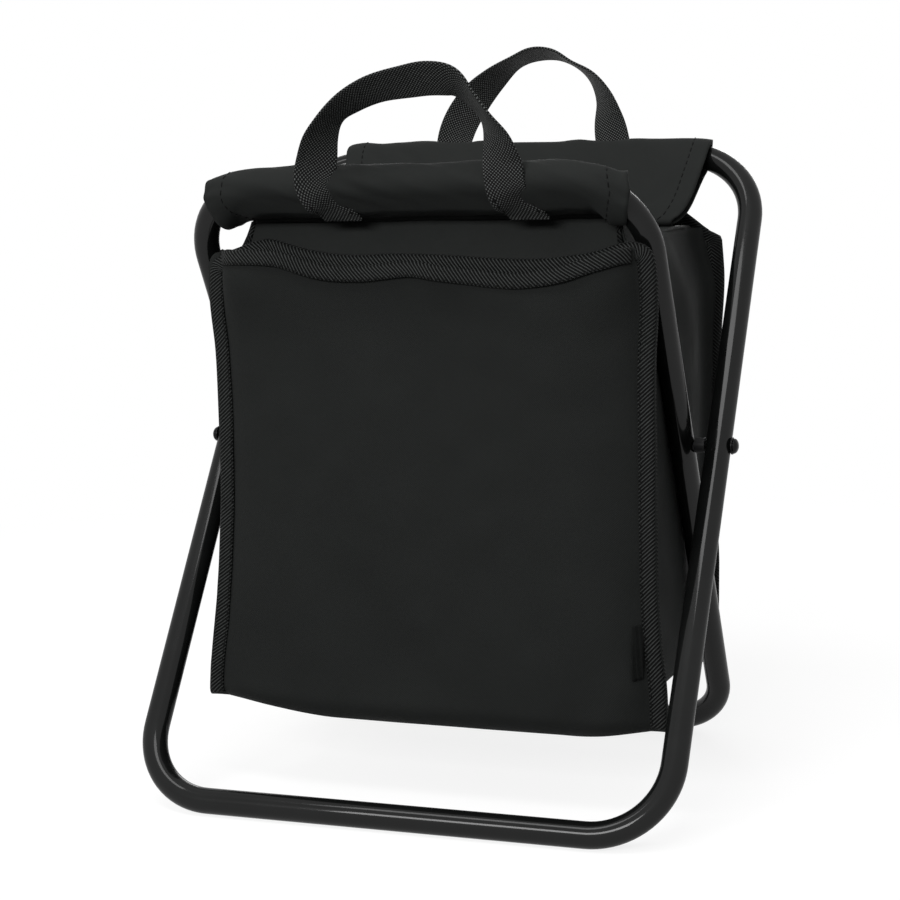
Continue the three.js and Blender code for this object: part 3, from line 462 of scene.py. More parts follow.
def calc(tree, operation, first, second=0.0, third=0.0):
    """A math node's result."""
    return put(tree, "ShaderNodeMath", {0: first, 1: second, 2: third}, operation=operation).outputs[0]


def plus(tree, base, share, value):
    """A base with a share of another value added."""
    return calc(tree, "MULTIPLY_ADD", value, share, base)


def ramp(tree, value, low, high, out_low=0.0, out_high=1.0):
    """Maps a value's range onto another range."""
    return put(
        tree,
        "ShaderNodeMapRange",
        {"Value": value, "From Min": low, "From Max": high, "To Min": out_low, "To Max": out_high},
    ).outputs[0]


def new_finish(name):
    """A node material and its surface node."""
    material = bpy.data.materials.new(name)
    material.use_nodes = True
    tree = material.node_tree
    return material, tree, tree.nodes["Principled BSDF"]


def fixed(surface, sockets):
    """Sets the sockets of a surface that are the same all over it."""
    for socket, value in sockets.items():
        surface.inputs[socket].default_value = value


def tint(tree, surface, share, first, second):
    """Colours a surface between two fixed colours by a share."""
    inputs = {MIX_SHARE: share, MIX_FIRST: first, MIX_SECOND: second}
    mixed = put(tree, "ShaderNodeMix", inputs, data_type="RGBA").outputs[MIX_COLOUR]
    tree.links.new(mixed, surface.inputs["Base Color"])


def roughen(tree, surface, value, span, rough):
    """Lets a surface's roughness follow a value: rough holds it at both ends of the value's span."""
    tree.links.new(ramp(tree, value, *span, *rough), surface.inputs["Roughness"])


def bumped(tree, surface, height, distance, strength):
    """Gives a surface relief from a height."""
    relief = put(tree, "ShaderNodeBump", {"Height": height, "Distance": distance, "Strength": strength})
    tree.links.new(relief.outputs["Normal"], surface.inputs["Normal"])


def cloth_places(tree):
    """Distances along and down the cloth in metres, from the piece's own texture places."""
    parts = put(tree, "ShaderNodeSeparateXYZ", {0: put(tree, "ShaderNodeUVMap", uv_map="cloth").outputs[0]})
    return parts.outputs[0], parts.outputs[1]


def body_places(tree):
    """The object's own coordinates."""
    return put(tree, "ShaderNodeTexCoord").outputs["Object"]


def body_noise(tree, scale, detail):
    """Noise fixed to the object's own coordinates."""
    inputs = {"Vector": body_places(tree), "Scale": scale, "Detail": detail}
    return put(tree, "ShaderNodeTexNoise", inputs).outputs["Fac"]


def waves(tree, along, pitch):
    """A sine of a distance with the given pitch."""
    return calc(tree, "SINE", calc(tree, "MULTIPLY", along, TURN / pitch))


def cloth_finish(name, dark, light, pitch=0.0011, rough=(0.62, 0.80)):
    """Plain-woven polyester: crossing threads, a faint mottle and a soft sheen.

    The height is a sine along the cloth times a sine down it, plus fuzz.
    """
    material, tree, surface = new_finish(name)
    along, down = cloth_places(tree)
    weave = calc(tree, "MULTIPLY", waves(tree, along, pitch), waves(tree, down, pitch))
    fuzz = body_noise(tree, scale=420.0, detail=2.0)
    mottle = body_noise(tree, scale=22.0, detail=4.0)
    height = plus(tree, weave, 0.9, fuzz)
    # Raised threads take the painted highlight and low ones painted shade; the mottle adds random tone.
    shade = plus(tree, ramp(tree, height, -1.0, 2.0, out_high=0.55), 0.7, mottle)
    tint(tree, surface, shade, dark, light)
    roughen(tree, surface, mottle, (0.3, 0.7), rough)
    fixed(surface, {"Sheen Weight": SHEEN, "Sheen Roughness": 0.45, "Specular IOR Level": 0.03})
    bumped(tree, surface, height, distance=0.00012, strength=0.55)
    return material


def tape_finish(name, dark, light, width, rib=0.0024):
    """Herringbone edge tape: ribs that slant one way on one half of the tape and back on the other.

    The ribs are a sine of the distance along, moved by the distance from the lane's edge.
    """
    material, tree, surface = new_finish(name)
    along, down = cloth_places(tree)
    lane = calc(tree, "PINGPONG", down, width)
    ribs = waves(tree, plus(tree, along, 0.9, lane), rib)
    lanes = waves(tree, down, width * 2.0)
    fuzz = body_noise(tree, scale=700.0, detail=2.0)
    height = plus(tree, plus(tree, ribs, 0.25, lanes), 0.8, fuzz)
    # Ribs take the painted highlight, grooves painted shade.
    tint(tree, surface, ramp(tree, height, 0.60, 1.70), dark, light)
    roughen(tree, surface, fuzz, (0.2, 0.8), (0.50, 0.72))
    fixed(surface, {"Sheen Weight": SHEEN, "Sheen Roughness": 0.4, "Specular IOR Level": 0.05})
    bumped(tree, surface, height, distance=0.00025, strength=0.8)
    return material


def webbing_finish(name, dark, light, row=0.0021, yarn=0.0022):
    """Basket-woven webbing: rows of raised yarns set like bricks, with grooves between them. The yarns take
    a painted highlight and the grooves painted shade.

    The height is a sine across the rows times a sine along the yarns, plus fuzz.
    """
    material, tree, surface = new_finish(name)
    along, down = cloth_places(tree)
    weave = calc(tree, "MULTIPLY", waves(tree, down, row), waves(tree, along, yarn))
    fuzz = body_noise(tree, scale=900.0, detail=2.0)
    height = plus(tree, weave, 0.5, fuzz)
    # Yarns take the painted highlight, grooves painted shade.
    tint(tree, surface, ramp(tree, height, 0.30, 1.05), dark, light)
    roughen(tree, surface, fuzz, (0.2, 0.8), (0.42, 0.66))
    fixed(surface, {"Sheen Weight": SHEEN, "Sheen Roughness": 0.4, "Specular IOR Level": 0.08})
    bumped(tree, surface, height, distance=0.00035, strength=0.9)
    return material


def coated_finish(name, colour, rough, peel, metal=0.0, clear=0.0):
    """A hard coat with a slight orange-peel texture and uneven gloss, under a clear layer if asked."""
    material, tree, surface = new_finish(name)
    grain = body_noise(tree, scale=peel, detail=2.0)
    smear = body_noise(tree, scale=30.0, detail=3.0)
    dust = lit(colour, 2.6)
    tint(tree, surface, ramp(tree, smear, 0.45, 0.85, out_high=0.35), colour, dust)
    roughen(tree, surface, smear, (0.3, 0.7), rough)
    fixed(surface, {"Metallic": metal, "Specular IOR Level": 0.04 if clear else 0.16})
    fixed(surface, {"Coat Weight": clear, "Coat IOR": 2.2, "Coat Roughness": 0.06})
    bumped(tree, surface, grain, distance=0.00004, strength=0.25)
    return material


def film_finish(name, colour):
    """Thin silvered film that is slightly crumpled."""
    material, tree, surface = new_finish(name)
    creases = body_noise(tree, scale=60.0, detail=5.0)
    tint(tree, surface, ramp(tree, creases, 0.3, 0.7), lit(colour, 0.8), colour)
    roughen(tree, surface, creases, (0.2, 0.8), (0.24, 0.42))
    fixed(surface, {"Metallic": 0.9})
    bumped(tree, surface, creases, distance=0.0012, strength=0.6)
    return material


def foam_finish(name, colour):
    """Closed-cell foam with fine cells."""
    material, tree, surface = new_finish(name)
    inputs = {"Vector": body_places(tree), "Scale": 900.0}
    cells = put(tree, "ShaderNodeTexVoronoi", inputs).outputs["Distance"]
    tint(tree, surface, cells, lit(colour, 0.86), colour)
    fixed(surface, {"Roughness": 0.85})
    bumped(tree, surface, cells, distance=0.0002, strength=0.5)
    return material


def thread_finish(name, dark, light):
    """Twisted sewing thread."""
    material, tree, surface = new_finish(name)
    twist = body_noise(tree, scale=1600.0, detail=2.0)
    tint(tree, surface, twist, dark, light)
    fixed(surface, {"Roughness": 0.5, "Specular IOR Level": 0.10})
    bumped(tree, surface, twist, distance=0.0001, strength=0.5)
    return material


_finishes = {}


def finishes(settings):
    """All materials of the stool, made once."""
    if _finishes:
        return _finishes
    f = settings.finish
    cloth, light, tape, plastic = (tuple(c) for c in (f.cloth, f.cloth_thread_highlight, f.tape, f.plastic))
    _finishes.update(
        cloth=cloth_finish("woven_polyester", cloth, light),
        # The same cloth made 1.3 times lighter: painted light for the sleeves and the roof.
        sleeve=cloth_finish("painted_light_polyester", lit(cloth, 1.3), lit(light, 1.3), pitch=0.0010),
        tag=cloth_finish("blank_label_satin", tape, cloth, pitch=0.0006, rough=(0.40, 0.55)),
        tape=tape_finish("herringbone_tape", tape, tuple(f.tape_rib_highlight), width=0.0100),
        zip_tape=tape_finish("zip_tape_weave", tape, light, width=0.0040),
        webbing=webbing_finish("basket_webbing", tuple(f.webbing), tuple(f.webbing_yarn_highlight)),
        tube=coated_finish("gloss_black_coat", tuple(f.tube), (0.22, 0.34), peel=260.0, clear=0.11),
        plastic=coated_finish("nylon_spacer", plastic, (0.38, 0.52), peel=500.0),
        rivet=coated_finish("blackened_rivet", plastic, (0.24, 0.36), peel=420.0, metal=0.6),
        zip_metal=coated_finish("coated_zip_metal", plastic, (0.26, 0.40), peel=600.0, metal=0.7),
        steel=coated_finish("plain_steel_plug", tuple(f.steel), (0.30, 0.45), peel=300.0, metal=1.0),
        liner=film_finish("silvered_film", tuple(f.liner)),
        foam=foam_finish("white_foam", tuple(f.foam)),
        # Black thread, made darker than the black tape as painted shade along the stitch lines.
        thread=thread_finish("black_thread", lit(tape, 0.4), tape),
    )
    return _finishes


# Shared forms of the bag, in metres


FLARE_SPREAD = 0.075
SHOULDER_SWELL, SHOULDER_HEIGHT, SHOULDER_SPREAD = 0.0022, 0.312, 0.024
FRONT_LEAN, FRONT_LEAN_HEIGHTS = 0.0042, (0.285, 0.350)
FOOT_SLIP_SHARE, SLIP_HEIGHTS = 0.35, (0.05, 0.22)
EDGE_RISE = 0.0100
LEFT_DRAWN_UP, RIGHT_DRAWN_UP = 0.0095, 0.0055
RIDGE_HEIGHTS = (0.300, 0.362)
FRONT_HEM_HEIGHT, REAR_HEM_HEIGHT = 0.3345, 0.3480
FRONT_HEM_FORWARD, REAR_HEM_FORWARD = 0.002, 0.001
FRONT_RIDGE_BACK, REAR_RIDGE_FORWARD = 0.0107, 0.0389
ZIP_GAP_HALF = 0.012
REAR_TAPE_HALF = 0.0022
REAR_CORNER_SHARE, CORNER_ROLL_LOSS = 0.6, 0.75
TUCK_WIDTH, TUCK_RUN = 0.026, 0.010
TAPE_STEP, TAPE_LEG_POINTS, TAPE_WAVE_PITCH = 0.0016, 7, 0.028
SEAM_FROM_EDGE = 0.0012


def side_half(bag, z, flared=1.0):
    """Half width between a wall panel's sides at a height: flared at the foot, full near the top."""
    flare = flared * bag.panel_flare * bell(z, bag.floor, FLARE_SPREAD)
    return bag.panel_half + flare + SHOULDER_SWELL * bell(z, SHOULDER_HEIGHT, SHOULDER_SPREAD)


def panel_half(bag, z, top, corner, flared):
    """Half width of a wall panel at a height, with its top corners rounded off."""
    into = np.clip(z - (top - corner), 0.0, corner)
    return side_half(bag, z, flared) - corner + np.sqrt(np.maximum(corner**2 - into**2, 0.0))


def panel_centre(bag, z):
    """Sideways place of the front panel's middle at a height."""
    return bag.panel_shift * (FOOT_SLIP_SHARE + (1 - FOOT_SLIP_SHARE) * smoothstep(*SLIP_HEIGHTS, z))


def front_plane(z):
    """Depth of the front panel's plane: it leans forward near its top to pass before the tube."""
    return corners("bag_front_panel")[0][1] - FRONT_LEAN * smoothstep(*FRONT_LEAN_HEIGHTS, z)


def rear_slope():
    """How far the rear panel slants back for each unit of height."""
    low, high = corners("rear_panel_binding")
    return (high[1] - low[1] - 2 * REAR_TAPE_HALF) / (high[2] - low[2])


def rear_plane(z):
    """Depth of the rear panel's plane, which slants back towards its top."""
    low = corners("rear_panel_binding")[0]
    return low[1] + REAR_TAPE_HALF + rear_slope() * (z - low[2])


def mouth_height(bag, a):
    """Height of the pocket's edge across the panel: slack between its ends, with two dips."""
    across = [-1.0, -0.87, -0.68, -0.51, -0.30, 0.0, 0.14, 0.53, 0.67, 0.84, 0.97, 1.0]
    sag = [0.0, 0.0, 0.15, 0.85, 1.05, 0.80, 1.10, 1.50, 1.26, 0.50, 0.13, 0.13]
    return bag.pocket_mouth - bag.mouth_sag * smooth_line(across, sag, a)


def front_edge(bag, a):
    """Height of the front panel's bound edge across the panel: highest near its ends."""
    across = [-1.0, -0.87, -0.78, -0.62, -0.44, -0.16, 0.11, 0.38, 0.65, 0.82, 0.93, 1.0]
    rise = [0.25, 0.85, 1.10, 0.60, 0.20, 0.10, 0.0, -0.25, -0.20, 0.10, 0.60, 0.70]
    return bag.front_top + EDGE_RISE * smooth_line(across, rise, a)


def floor_height(bag, a):
    """Height of the rolled lower edge: drawn up where it meets the bound sides."""
    left, right = smoothstep(0.42, 1.0, -a), smoothstep(0.60, 1.0, a)
    return bag.floor + LEFT_DRAWN_UP * left + RIGHT_DRAWN_UP * right


def bag_half(bag, z):
    """Half the width of the bag's body, which narrows towards its ridge."""
    return bag.gusset_half * (1 - bag.ridge_narrowing * smoothstep(*RIDGE_HEIGHTS, z))


def crest_points():
    """Depth and height of hem, ridge, zip, ridge and hem, from the roof's nodes."""
    front_low, front_high = corners("top_front_panel")
    rear_high = corners("top_rear_panel")[1]
    zip_depth, zip_height = middle("zip_coil")[1:]
    half_cloth = 0.0006
    below_coil = 2 * half_cloth
    return np.array(
        [
            [front_low[1] - FRONT_HEM_FORWARD, FRONT_HEM_HEIGHT],
            [front_low[1] + FRONT_RIDGE_BACK, front_high[2] - half_cloth],
            [zip_depth - ZIP_GAP_HALF, zip_height - below_coil],
            [zip_depth + ZIP_GAP_HALF, zip_height - below_coil],
            [rear_high[1] - REAR_RIDGE_FORWARD, rear_high[2] - half_cloth],
            [rear_high[1] - REAR_HEM_FORWARD, REAR_HEM_HEIGHT],
        ]
    )


CREST = crest_points()
FRONT_RIDGE, REAR_RIDGE = CREST[1], CREST[4]


def bag_crest(y):
    """Height of the gussets' upper edge along the bag's depth: two ridges with the zip between them."""
    return np.interp(y, CREST[:, 0], CREST[:, 1])


def slip(bag, y, z):
    """How far the slack bag has slipped to the right: most at its front and none at its rear."""
    share = np.clip((CREST[-1, 0] - y) / (CREST[-1, 0] - CREST[0, 0]), 0.0, 1.0)
    return panel_centre(bag, z) * share


def wall_grid(bag, top, lift, under, roll, front, columns=97, rows=121):
    """A wall panel that rolls under at its foot: a flat run below, a quarter turn, then the face.

    Rows go from the hidden run under the bag to the top edge, columns from left to right. The
    distance along the cloth is shared over the rows, and lift gives how far the face stands out.
    The run below is narrower, because it is tucked between the bag's sides.
    """
    a = np.linspace(-1, 1, columns)[None, :]
    b = np.linspace(0, 1, rows)[:, None]
    foot = floor_height(bag, a)
    edge = top(a)
    turn = roll * (1 - CORNER_ROLL_LOSS * np.abs(a) ** 5)
    quarter = turn * QUARTER
    run = b * (under + quarter + (edge - foot - turn))
    angle = np.clip((run - under) / turn, 0.0, QUARTER)
    rise = np.maximum(run - under - quarter, 0.0)
    z = foot + turn * (1 - np.cos(angle)) + rise
    inward = turn * (1 - np.sin(angle)) + np.maximum(under - run, 0.0)
    corner = bag.panel_corner * (1.0 if front else REAR_CORNER_SHARE)
    tucked = TUCK_WIDTH * smoothstep(0.0, TUCK_RUN, under - run)
    half = panel_half(bag, z, edge, corner, 1.0 if front else 0.0) - tucked
    x = a * half + (panel_centre(bag, z) if front else 0.0)
    out = lift(a, z, half) - inward
    y = front_plane(z) - out if front else rear_plane(z) + out
    return np.stack(np.broadcast_arrays(x, y, z), axis=-1)


def front_wall(bag):
    """The front panel's grid: it stands close behind the pocket, with shallow waves."""

    def lift(a, z, half):
        """Noise that fades out towards both sides."""
        return 0.0008 * (1 + soft_noise(a * half, z, pitch=0.050, seed=11)) * (1 - a**2)

    return wall_grid(bag, lambda a: front_edge(bag, a), lift, under=0.020, roll=0.010, front=True)


def rear_wall(bag):
    """The rear panel's grid: a shallow crown over its foam."""

    def lift(a, z, half):
        """The crown fades out towards sides, top and foot, and shallow waves lie on it."""
        from_side = smoothstep(0.008, 0.048, (1 - np.abs(a)) * half)
        crown = from_side * smoothstep(0.338, 0.285, z) * smoothstep(0.050, 0.095, z)
        waved = (1 + soft_noise(a * half, z, pitch=0.060, seed=23)) * (1 - a**4)
        return 0.0060 * crown + 0.0009 * waved

    def edge(a):
        """Slack at its middle, drawn up beside the rear sleeve's ends, low at its corners."""
        out = np.abs(a)
        drawn_up = 0.0140 * smoothstep(0.50, 0.80, out) * smoothstep(0.98, 0.80, out)
        return bag.rear_top - 0.0035 + drawn_up - 0.0030 * smoothstep(0.93, 1.0, out)

    return wall_grid(bag, edge, lift, under=0.030, roll=0.013, front=False)


def pocket_wall(bag):
    """The pocket's grid: drawn in at its sides, full at its middle, slack at its mouth."""

    def lift(a, z, half):
        """A rounded edge at both sides, slack waves at the mouth, a hollow, drape and corner puckers."""
        from_side = np.maximum(side_half(bag, z) - np.abs(a) * half - bag.pocket_border, 0.0)
        edge_round = 0.016 - 0.010 * smoothstep(0.290, 0.330, z)
        full = bag.pocket_depth * (1 - np.exp(-from_side / edge_round))
        slack = 0.0022 * smoothstep(0.255, 0.335, z) * (1 - a**2) * np.sin(a * 7.5 + 0.9)
        hollow = 0.0030 * bell(z, 0.235, 0.090) * (1 - a**4)
        drape = 0.0036 * soft_noise(a * half + 0.3 * z, z * 0.5, pitch=0.050, seed=31)
        fine = 0.0005 * soft_noise(a * half, z, pitch=0.019, seed=37)
        puckers = 0.0022 * np.sin((np.abs(a) * half - 0.8 * z) / 0.0085)
        puckers = puckers * np.exp(-from_side / 0.030) * np.exp(-((z - bag.floor) / 0.045))
        free = 1 - np.exp(-from_side / 0.010)
        return 0.0016 + full + slack - hollow + (drape + fine + puckers) * free

    return wall_grid(
        bag,
        lambda a: mouth_height(bag, a),
        lift,
        under=0.034,
        roll=bag.roll,
        front=True,
        columns=121,
        rows=161,
    )


def border(points):
    """The side and top edges of a panel as one line, from its lower left to its lower right."""
    return np.concatenate([points[:, 0], points[-1, 1:-1], points[::-1, -1]])


def tape_along(line, forward, width, thickness, gap, passes, wave, seed):
    """Edge tape folded round a line: a narrow U swept along it, and the middle of its front leg's seam.

    forward is the direction that the front leg faces. Inward is square to it and to the line. The
    section runs up the front leg, round the fold and down the back leg, then back inside.
    """
    path = eased(resample(line, int(run_length(line)[-1] / TAPE_STEP)), passes)
    along = unit(np.gradient(path, axis=0))
    face = unit(forward - along * (along @ forward)[:, None])
    inward = np.cross(along, face)
    run = run_length(path)
    path = path + inward * (wave * soft_noise(run, np.zeros_like(run), TAPE_WAVE_PITCH, seed))[:, None]
    turn = np.linspace(QUARTER, -QUARTER, TAPE_LEG_POINTS)
    half = gap + thickness / 2
    legs = np.linspace(width, half, TAPE_LEG_POINTS)
    line_in = np.concatenate([legs, half * (1 - np.cos(turn))[1:-1], legs[::-1]])
    line_out = np.concatenate(
        [np.full(TAPE_LEG_POINTS, half), half * np.sin(turn)[1:-1], np.full(TAPE_LEG_POINTS, -half)]
    )
    section = np.stack([line_in, line_out], axis=1)
    slope = unit(np.gradient(section, axis=0))
    side = np.stack([-slope[:, 1], slope[:, 0]], axis=1) * thickness / 2
    ring = np.concatenate([section + side, (section - side)[::-1]])
    points = path[:, None] + inward[:, None] * ring[None, :, :1] + face[:, None] * ring[None, :, 1:]
    place = run_length(section)
    across = np.concatenate([place, place[::-1], place[:1]])
    uv = np.stack(np.meshgrid(across, run), axis=-1)[..., ::-1]
    seam = path + inward * (width - SEAM_FROM_EDGE) + face * (half + thickness / 2)
    return points, uv, (seam, along, face)


def stitch_row(seam, trim):
    """Places and directions of stitches along a seam line, spaced by the stitches' pitch."""
    line, along, face = seam
    run = run_length(line)
    at = np.arange(trim.stitch_pitch, run[-1] - trim.stitch_pitch, trim.stitch_pitch)
    first, third = unit(interpolated(at, run, along)), unit(interpolated(at, run, face))
    return interpolated(at, run, line), np.stack([first, np.cross(third, first), third], axis=1)


def sew(name, seams, trim, material, body):
    """Makes one piece of all stitches along some seams."""
    rows = [stitch_row(seam, trim) for seam in seams]
    places = np.concatenate([row[0] for row in rows])
    axes = np.concatenate([row[1] for row in rows])
    stitch, faces = bead(trim.stitch, trim.thread)
    return make_piece(name, repeated(stitch, faces, places, axes), material, body)


# Stage, fitted to the photograph's view


CAMERA_LENS, CAMERA_SENSOR = 82.32, 36.0
CAMERA_PLACE = (0.4469, -1.2511, 0.3919)
CAMERA_RIGHT = (0.9403, 0.3395, -0.0237)
CAMERA_UP = (-0.0239, 0.1355, 0.9905)
CAMERA_BACK = (0.3395, -0.9308, 0.1355)
LAMPS_AIM = (0.0, 0.0, 0.24)
SURROUND_LIGHT = 0.42
FLOOR_RINGS, FLOOR_SIDES, FLOOR_DROP = (0.001, 0.4, 1.2, 4.0, 12.0), 96, 0.0004
FLOOR_FADE = (0.45, 1.10)
FLOOR_GLOW = 0.82


class STOOL_OT_stage(bpy.types.Operator):
    """Sets up the studio: pale floor, white surround, soft lamps and the camera"""

    bl_idname = "stool.stage"
    bl_label = "Stage"

    def execute(self, context):
        scene = context.scene
        self.surround(scene)
        self.floor(scene, tuple(scene.cooler_stool.finish.floor))
        self.lamps(scene)
        self.camera(scene)
        scene.view_settings.view_transform = "Standard"
        return {"FINISHED"}

    @staticmethod
    def seen_share(tree):
        """1 for rays from the camera and for mirrored or clear ones, 0 for the rest."""
        path = put(tree, "ShaderNodeLightPath").outputs
        first = calc(tree, "MAXIMUM", path["Is Camera Ray"], path["Is Glossy Ray"])
        return calc(tree, "MAXIMUM", first, path["Is Transmission Ray"])

    def surround(self, scene):
        """A white surround for the eye, with a weaker light for the surfaces."""
        world = bpy.data.worlds.new("studio")
        scene.world = world
        world.use_nodes = True
        tree = world.node_tree
        backdrop = tree.nodes["Background"]
        strength = ramp(tree, self.seen_share(tree), 0.0, 1.0, SURROUND_LIGHT, 1.0)
        tree.links.new(strength, backdrop.inputs["Strength"])
        backdrop.inputs["Color"].default_value = (1, 1, 1, 1)

    def floor(self, scene, colour):
        """A round floor that shows white and keeps the shadow of the stool: rings in a plane."""
        material, tree, surface = new_finish("pale_floor")
        inputs = {0: body_places(tree)}
        away = put(tree, "ShaderNodeVectorMath", inputs, operation="LENGTH").outputs["Value"]
        fade = ramp(tree, away, *FLOOR_FADE)
        tint(tree, surface, fade, colour, (0, 0, 0, 1))
        fixed(surface, {"Roughness": 0.9, "Specular IOR Level": 0.0, "Emission Color": (1, 1, 1, 1)})
        glow = calc(tree, "MULTIPLY", ramp(tree, fade, 0.0, 1.0, FLOOR_GLOW, 1.0), self.seen_share(tree))
        tree.links.new(glow, surface.inputs["Emission Strength"])
        turn, rings = full_turn(FLOOR_SIDES), np.array(FLOOR_RINGS)[:, None]
        points = np.stack(
            np.broadcast_arrays(rings * np.cos(turn), rings * np.sin(turn), -FLOOR_DROP), axis=-1
        )
        index = come_round(numbered(*points.shape[:2]))
        faces = quads(index).tolist() + [index[0, :-1].tolist()]
        mesh = bpy.data.meshes.new("floor")
        mesh.from_pydata(points.reshape(-1, 3).tolist(), [], faces)
        mesh.materials.append(material)
        floor = bpy.data.objects.new("floor", mesh)
        scene.collection.objects.link(floor)

    def lamps(self, scene):
        """Soft lamps: a wide one high in front, a key below it and one behind."""
        for name, place, size, power in (
            ("top", (-0.15, -0.85, 2.00), (1.5, 0.5), 14.0),
            ("key", (-0.25, -2.05, 1.05), (1.3, 0.5), 29.0),
            ("back", (-0.40, 2.10, 0.90), (1.3, 0.6), 14.0),
        ):
            lamp = bpy.data.lights.new(name, "AREA")
            lamp.shape = "RECTANGLE"
            lamp.size, lamp.size_y = size
            lamp.energy = power
            back = unit(np.array(place) - np.array(LAMPS_AIM))
            right = unit(np.cross([0.0, 0.0, 1.0], back))
            self.placed(scene, name, lamp, right, np.cross(back, right), back, place)

    def camera(self, scene):
        """The photograph's view: a long lens from the front right, slightly above."""
        lens = bpy.data.cameras.new("photo_view")
        lens.lens = CAMERA_LENS
        lens.sensor_width = CAMERA_SENSOR
        scene.camera = self.placed(
            scene, "photo_view", lens, CAMERA_RIGHT, CAMERA_UP, CAMERA_BACK, CAMERA_PLACE
        )

    @staticmethod
    def placed(scene, name, data, right, up, back, place):
        """A lamp or camera whose own axes point right, up and back from its place."""
        made = bpy.data.objects.new(name, data)
        made.matrix_world = Matrix(np.column_stack([right, up, back, place]).tolist() + [[0, 0, 0, 1]])
        scene.collection.objects.link(made)
        return made


# Frame


BEND_STEPS = 21
PIVOT_SIDES, RING_SIDES, RING_SQUARENESS = 48, 28, 0.22
BORE_CLEARANCE = 0.0003


class STOOL_OT_frame_tubes(bpy.types.Operator):
    """Sweeps round tube along the two rounded loops of the frame"""

    bl_idname = "stool.frame_tubes"
    bl_label = "Frame Tubes"

    def execute(self, context):
        settings = context.scene.cooler_stool
        sizes, looks = settings.frame, finishes(settings)
        for body, top_bend, foot_bend, sign in (
            ("inner_frame", sizes.inner_top_bend, sizes.inner_foot_bend, -1.0),
            ("outer_frame", sizes.outer_top_bend, sizes.outer_foot_bend, 1.0),
        ):
            tube, plug = f"{body}_tube", f"{body}_joint_plug"
            form = swept(self.loop(sizes, tube, plug, top_bend, foot_bend, sign), closed=True)
            make_piece(f"{body}_loop", form, looks["tube"], body, [tube])
            refinish(plug, looks["steel"])
        return {"FINISHED"}

    @staticmethod
    def loop(sizes, tube, plug, top_bend, foot_bend, sign):
        """Rings round a rounded loop: four bends joined by straight runs, leaned about the pivot.

        At angle t of a bend the path is the bend's middle plus its radius times (cos t, sin t), and
        each ring lies in the plane of that direction and the loop's own thickness.
        """
        pivot, bar = pivot_place(), middle(plug)
        radius = sizes.tube_radius
        half = corners(tube)[1][0] - radius
        lean = math.atan2(abs(bar[1] - pivot[1]), bar[2] - pivot[2])
        top = math.hypot(bar[1] - pivot[1], bar[2] - pivot[2])
        foot = (pivot[2] - radius) / math.cos(lean)
        bent = np.linspace(0, QUARTER, BEND_STEPS)
        angle = np.concatenate([bent + k * QUARTER for k in range(4)])[:, None]
        bend = np.repeat([top_bend, top_bend, foot_bend, foot_bend], BEND_STEPS)[:, None]
        middle_x = np.repeat([1.0, -1.0, -1.0, 1.0], BEND_STEPS)[:, None] * (half - bend)
        middle_h = np.repeat([top - top_bend, foot_bend - foot], 2 * BEND_STEPS)[:, None]
        turn = full_turn(sizes.tube_sides)[None, :]
        out = bend + radius * np.cos(turn)
        x = middle_x + out * np.cos(angle)
        h = middle_h + out * np.sin(angle)
        d = radius * np.sin(turn)
        y = pivot[1] + sign * h * math.sin(lean) + d * math.cos(lean)
        z = pivot[2] + h * math.cos(lean) - sign * d * math.sin(lean)
        return np.stack([x, y, z], axis=-1)


class STOOL_OT_pivots(bpy.types.Operator):
    """Turns the rivets, washers and spacers that join the two loops"""

    bl_idname = "stool.pivots"
    bl_label = "Pivots"

    def execute(self, context):
        settings = context.scene.cooler_stool
        sizes, looks = settings.frame, finishes(settings)
        for side, sign in (("left", -1.0), ("right", 1.0)):
            rivet = f"pivot_rivet_{side}"
            form = swept(self.turned(self.rivet_profile(sizes, rivet), sign))
            make_piece(f"rivet_{side}", form, looks["rivet"], "bag", [rivet])
            for name, finish, slot in (
                (f"spacer_{side}", "plastic", "spacer_plastic"),
                (f"head_washer_{side}", "rivet", "rivet_black"),
                (f"tail_washer_{side}", "rivet", "rivet_black"),
            ):
                node = f"pivot_{name}"
                rings = np.swapaxes(self.turned(self.ring_profile(sizes, node), sign), 0, 1)
                make_piece(name, swept(rings, closed=True), looks[finish], "bag", [node])
        return {"FINISHED"}

    @staticmethod
    def turned(profile, sign):
        """A profile of radius and distance turned about the pivot's axis."""
        pivot = pivot_place()
        turn = full_turn(PIVOT_SIDES)[None, :]
        radius, away = profile[:, :1], profile[:, 1:]
        y, z = pivot[1] + radius * np.cos(turn), pivot[2] + radius * np.sin(turn)
        return np.stack(np.broadcast_arrays(sign * away, y, z), axis=-1)

    @staticmethod
    def rivet_profile(sizes, node):
        """Radius and distance along a rivet: clenched tail, shank and domed head, as quarter ellipses."""
        near, far = sideways_span(node)
        tail_rim, head_rim = near + sizes.rivet_tail_height, far - sizes.rivet_head_height
        rise = np.linspace(0.04, 1.0, 9)[:, None] * QUARTER
        depth = 1 - np.cos(rise)
        tail = np.hstack([sizes.rivet_tail * np.sin(rise), near + sizes.rivet_tail_height * depth])
        shank = np.array([[sizes.rivet_shank, tail_rim], [sizes.rivet_shank, head_rim]])
        head = np.hstack([sizes.rivet_head * np.sin(rise), far - sizes.rivet_head_height * depth])
        return np.concatenate([tail, shank, head[::-1]])

    @staticmethod
    def ring_profile(sizes, node):
        """A closed profile with eased corners for a washer or spacer: a circle pushed out to a square."""
        low, high = corners(node)
        near, far = sideways_span(node)
        outer, inner = (high[2] - low[2]) / 2, sizes.rivet_shank + BORE_CLEARANCE
        turn = full_turn(RING_SIDES)
        radius = (outer + inner) / 2 + (outer - inner) / 2 * squared_off(np.cos(turn), RING_SQUARENESS)
        away = (near + far) / 2 + (far - near) / 2 * squared_off(np.sin(turn), RING_SQUARENESS)
        return np.stack([radius, away], axis=1)


# Bag


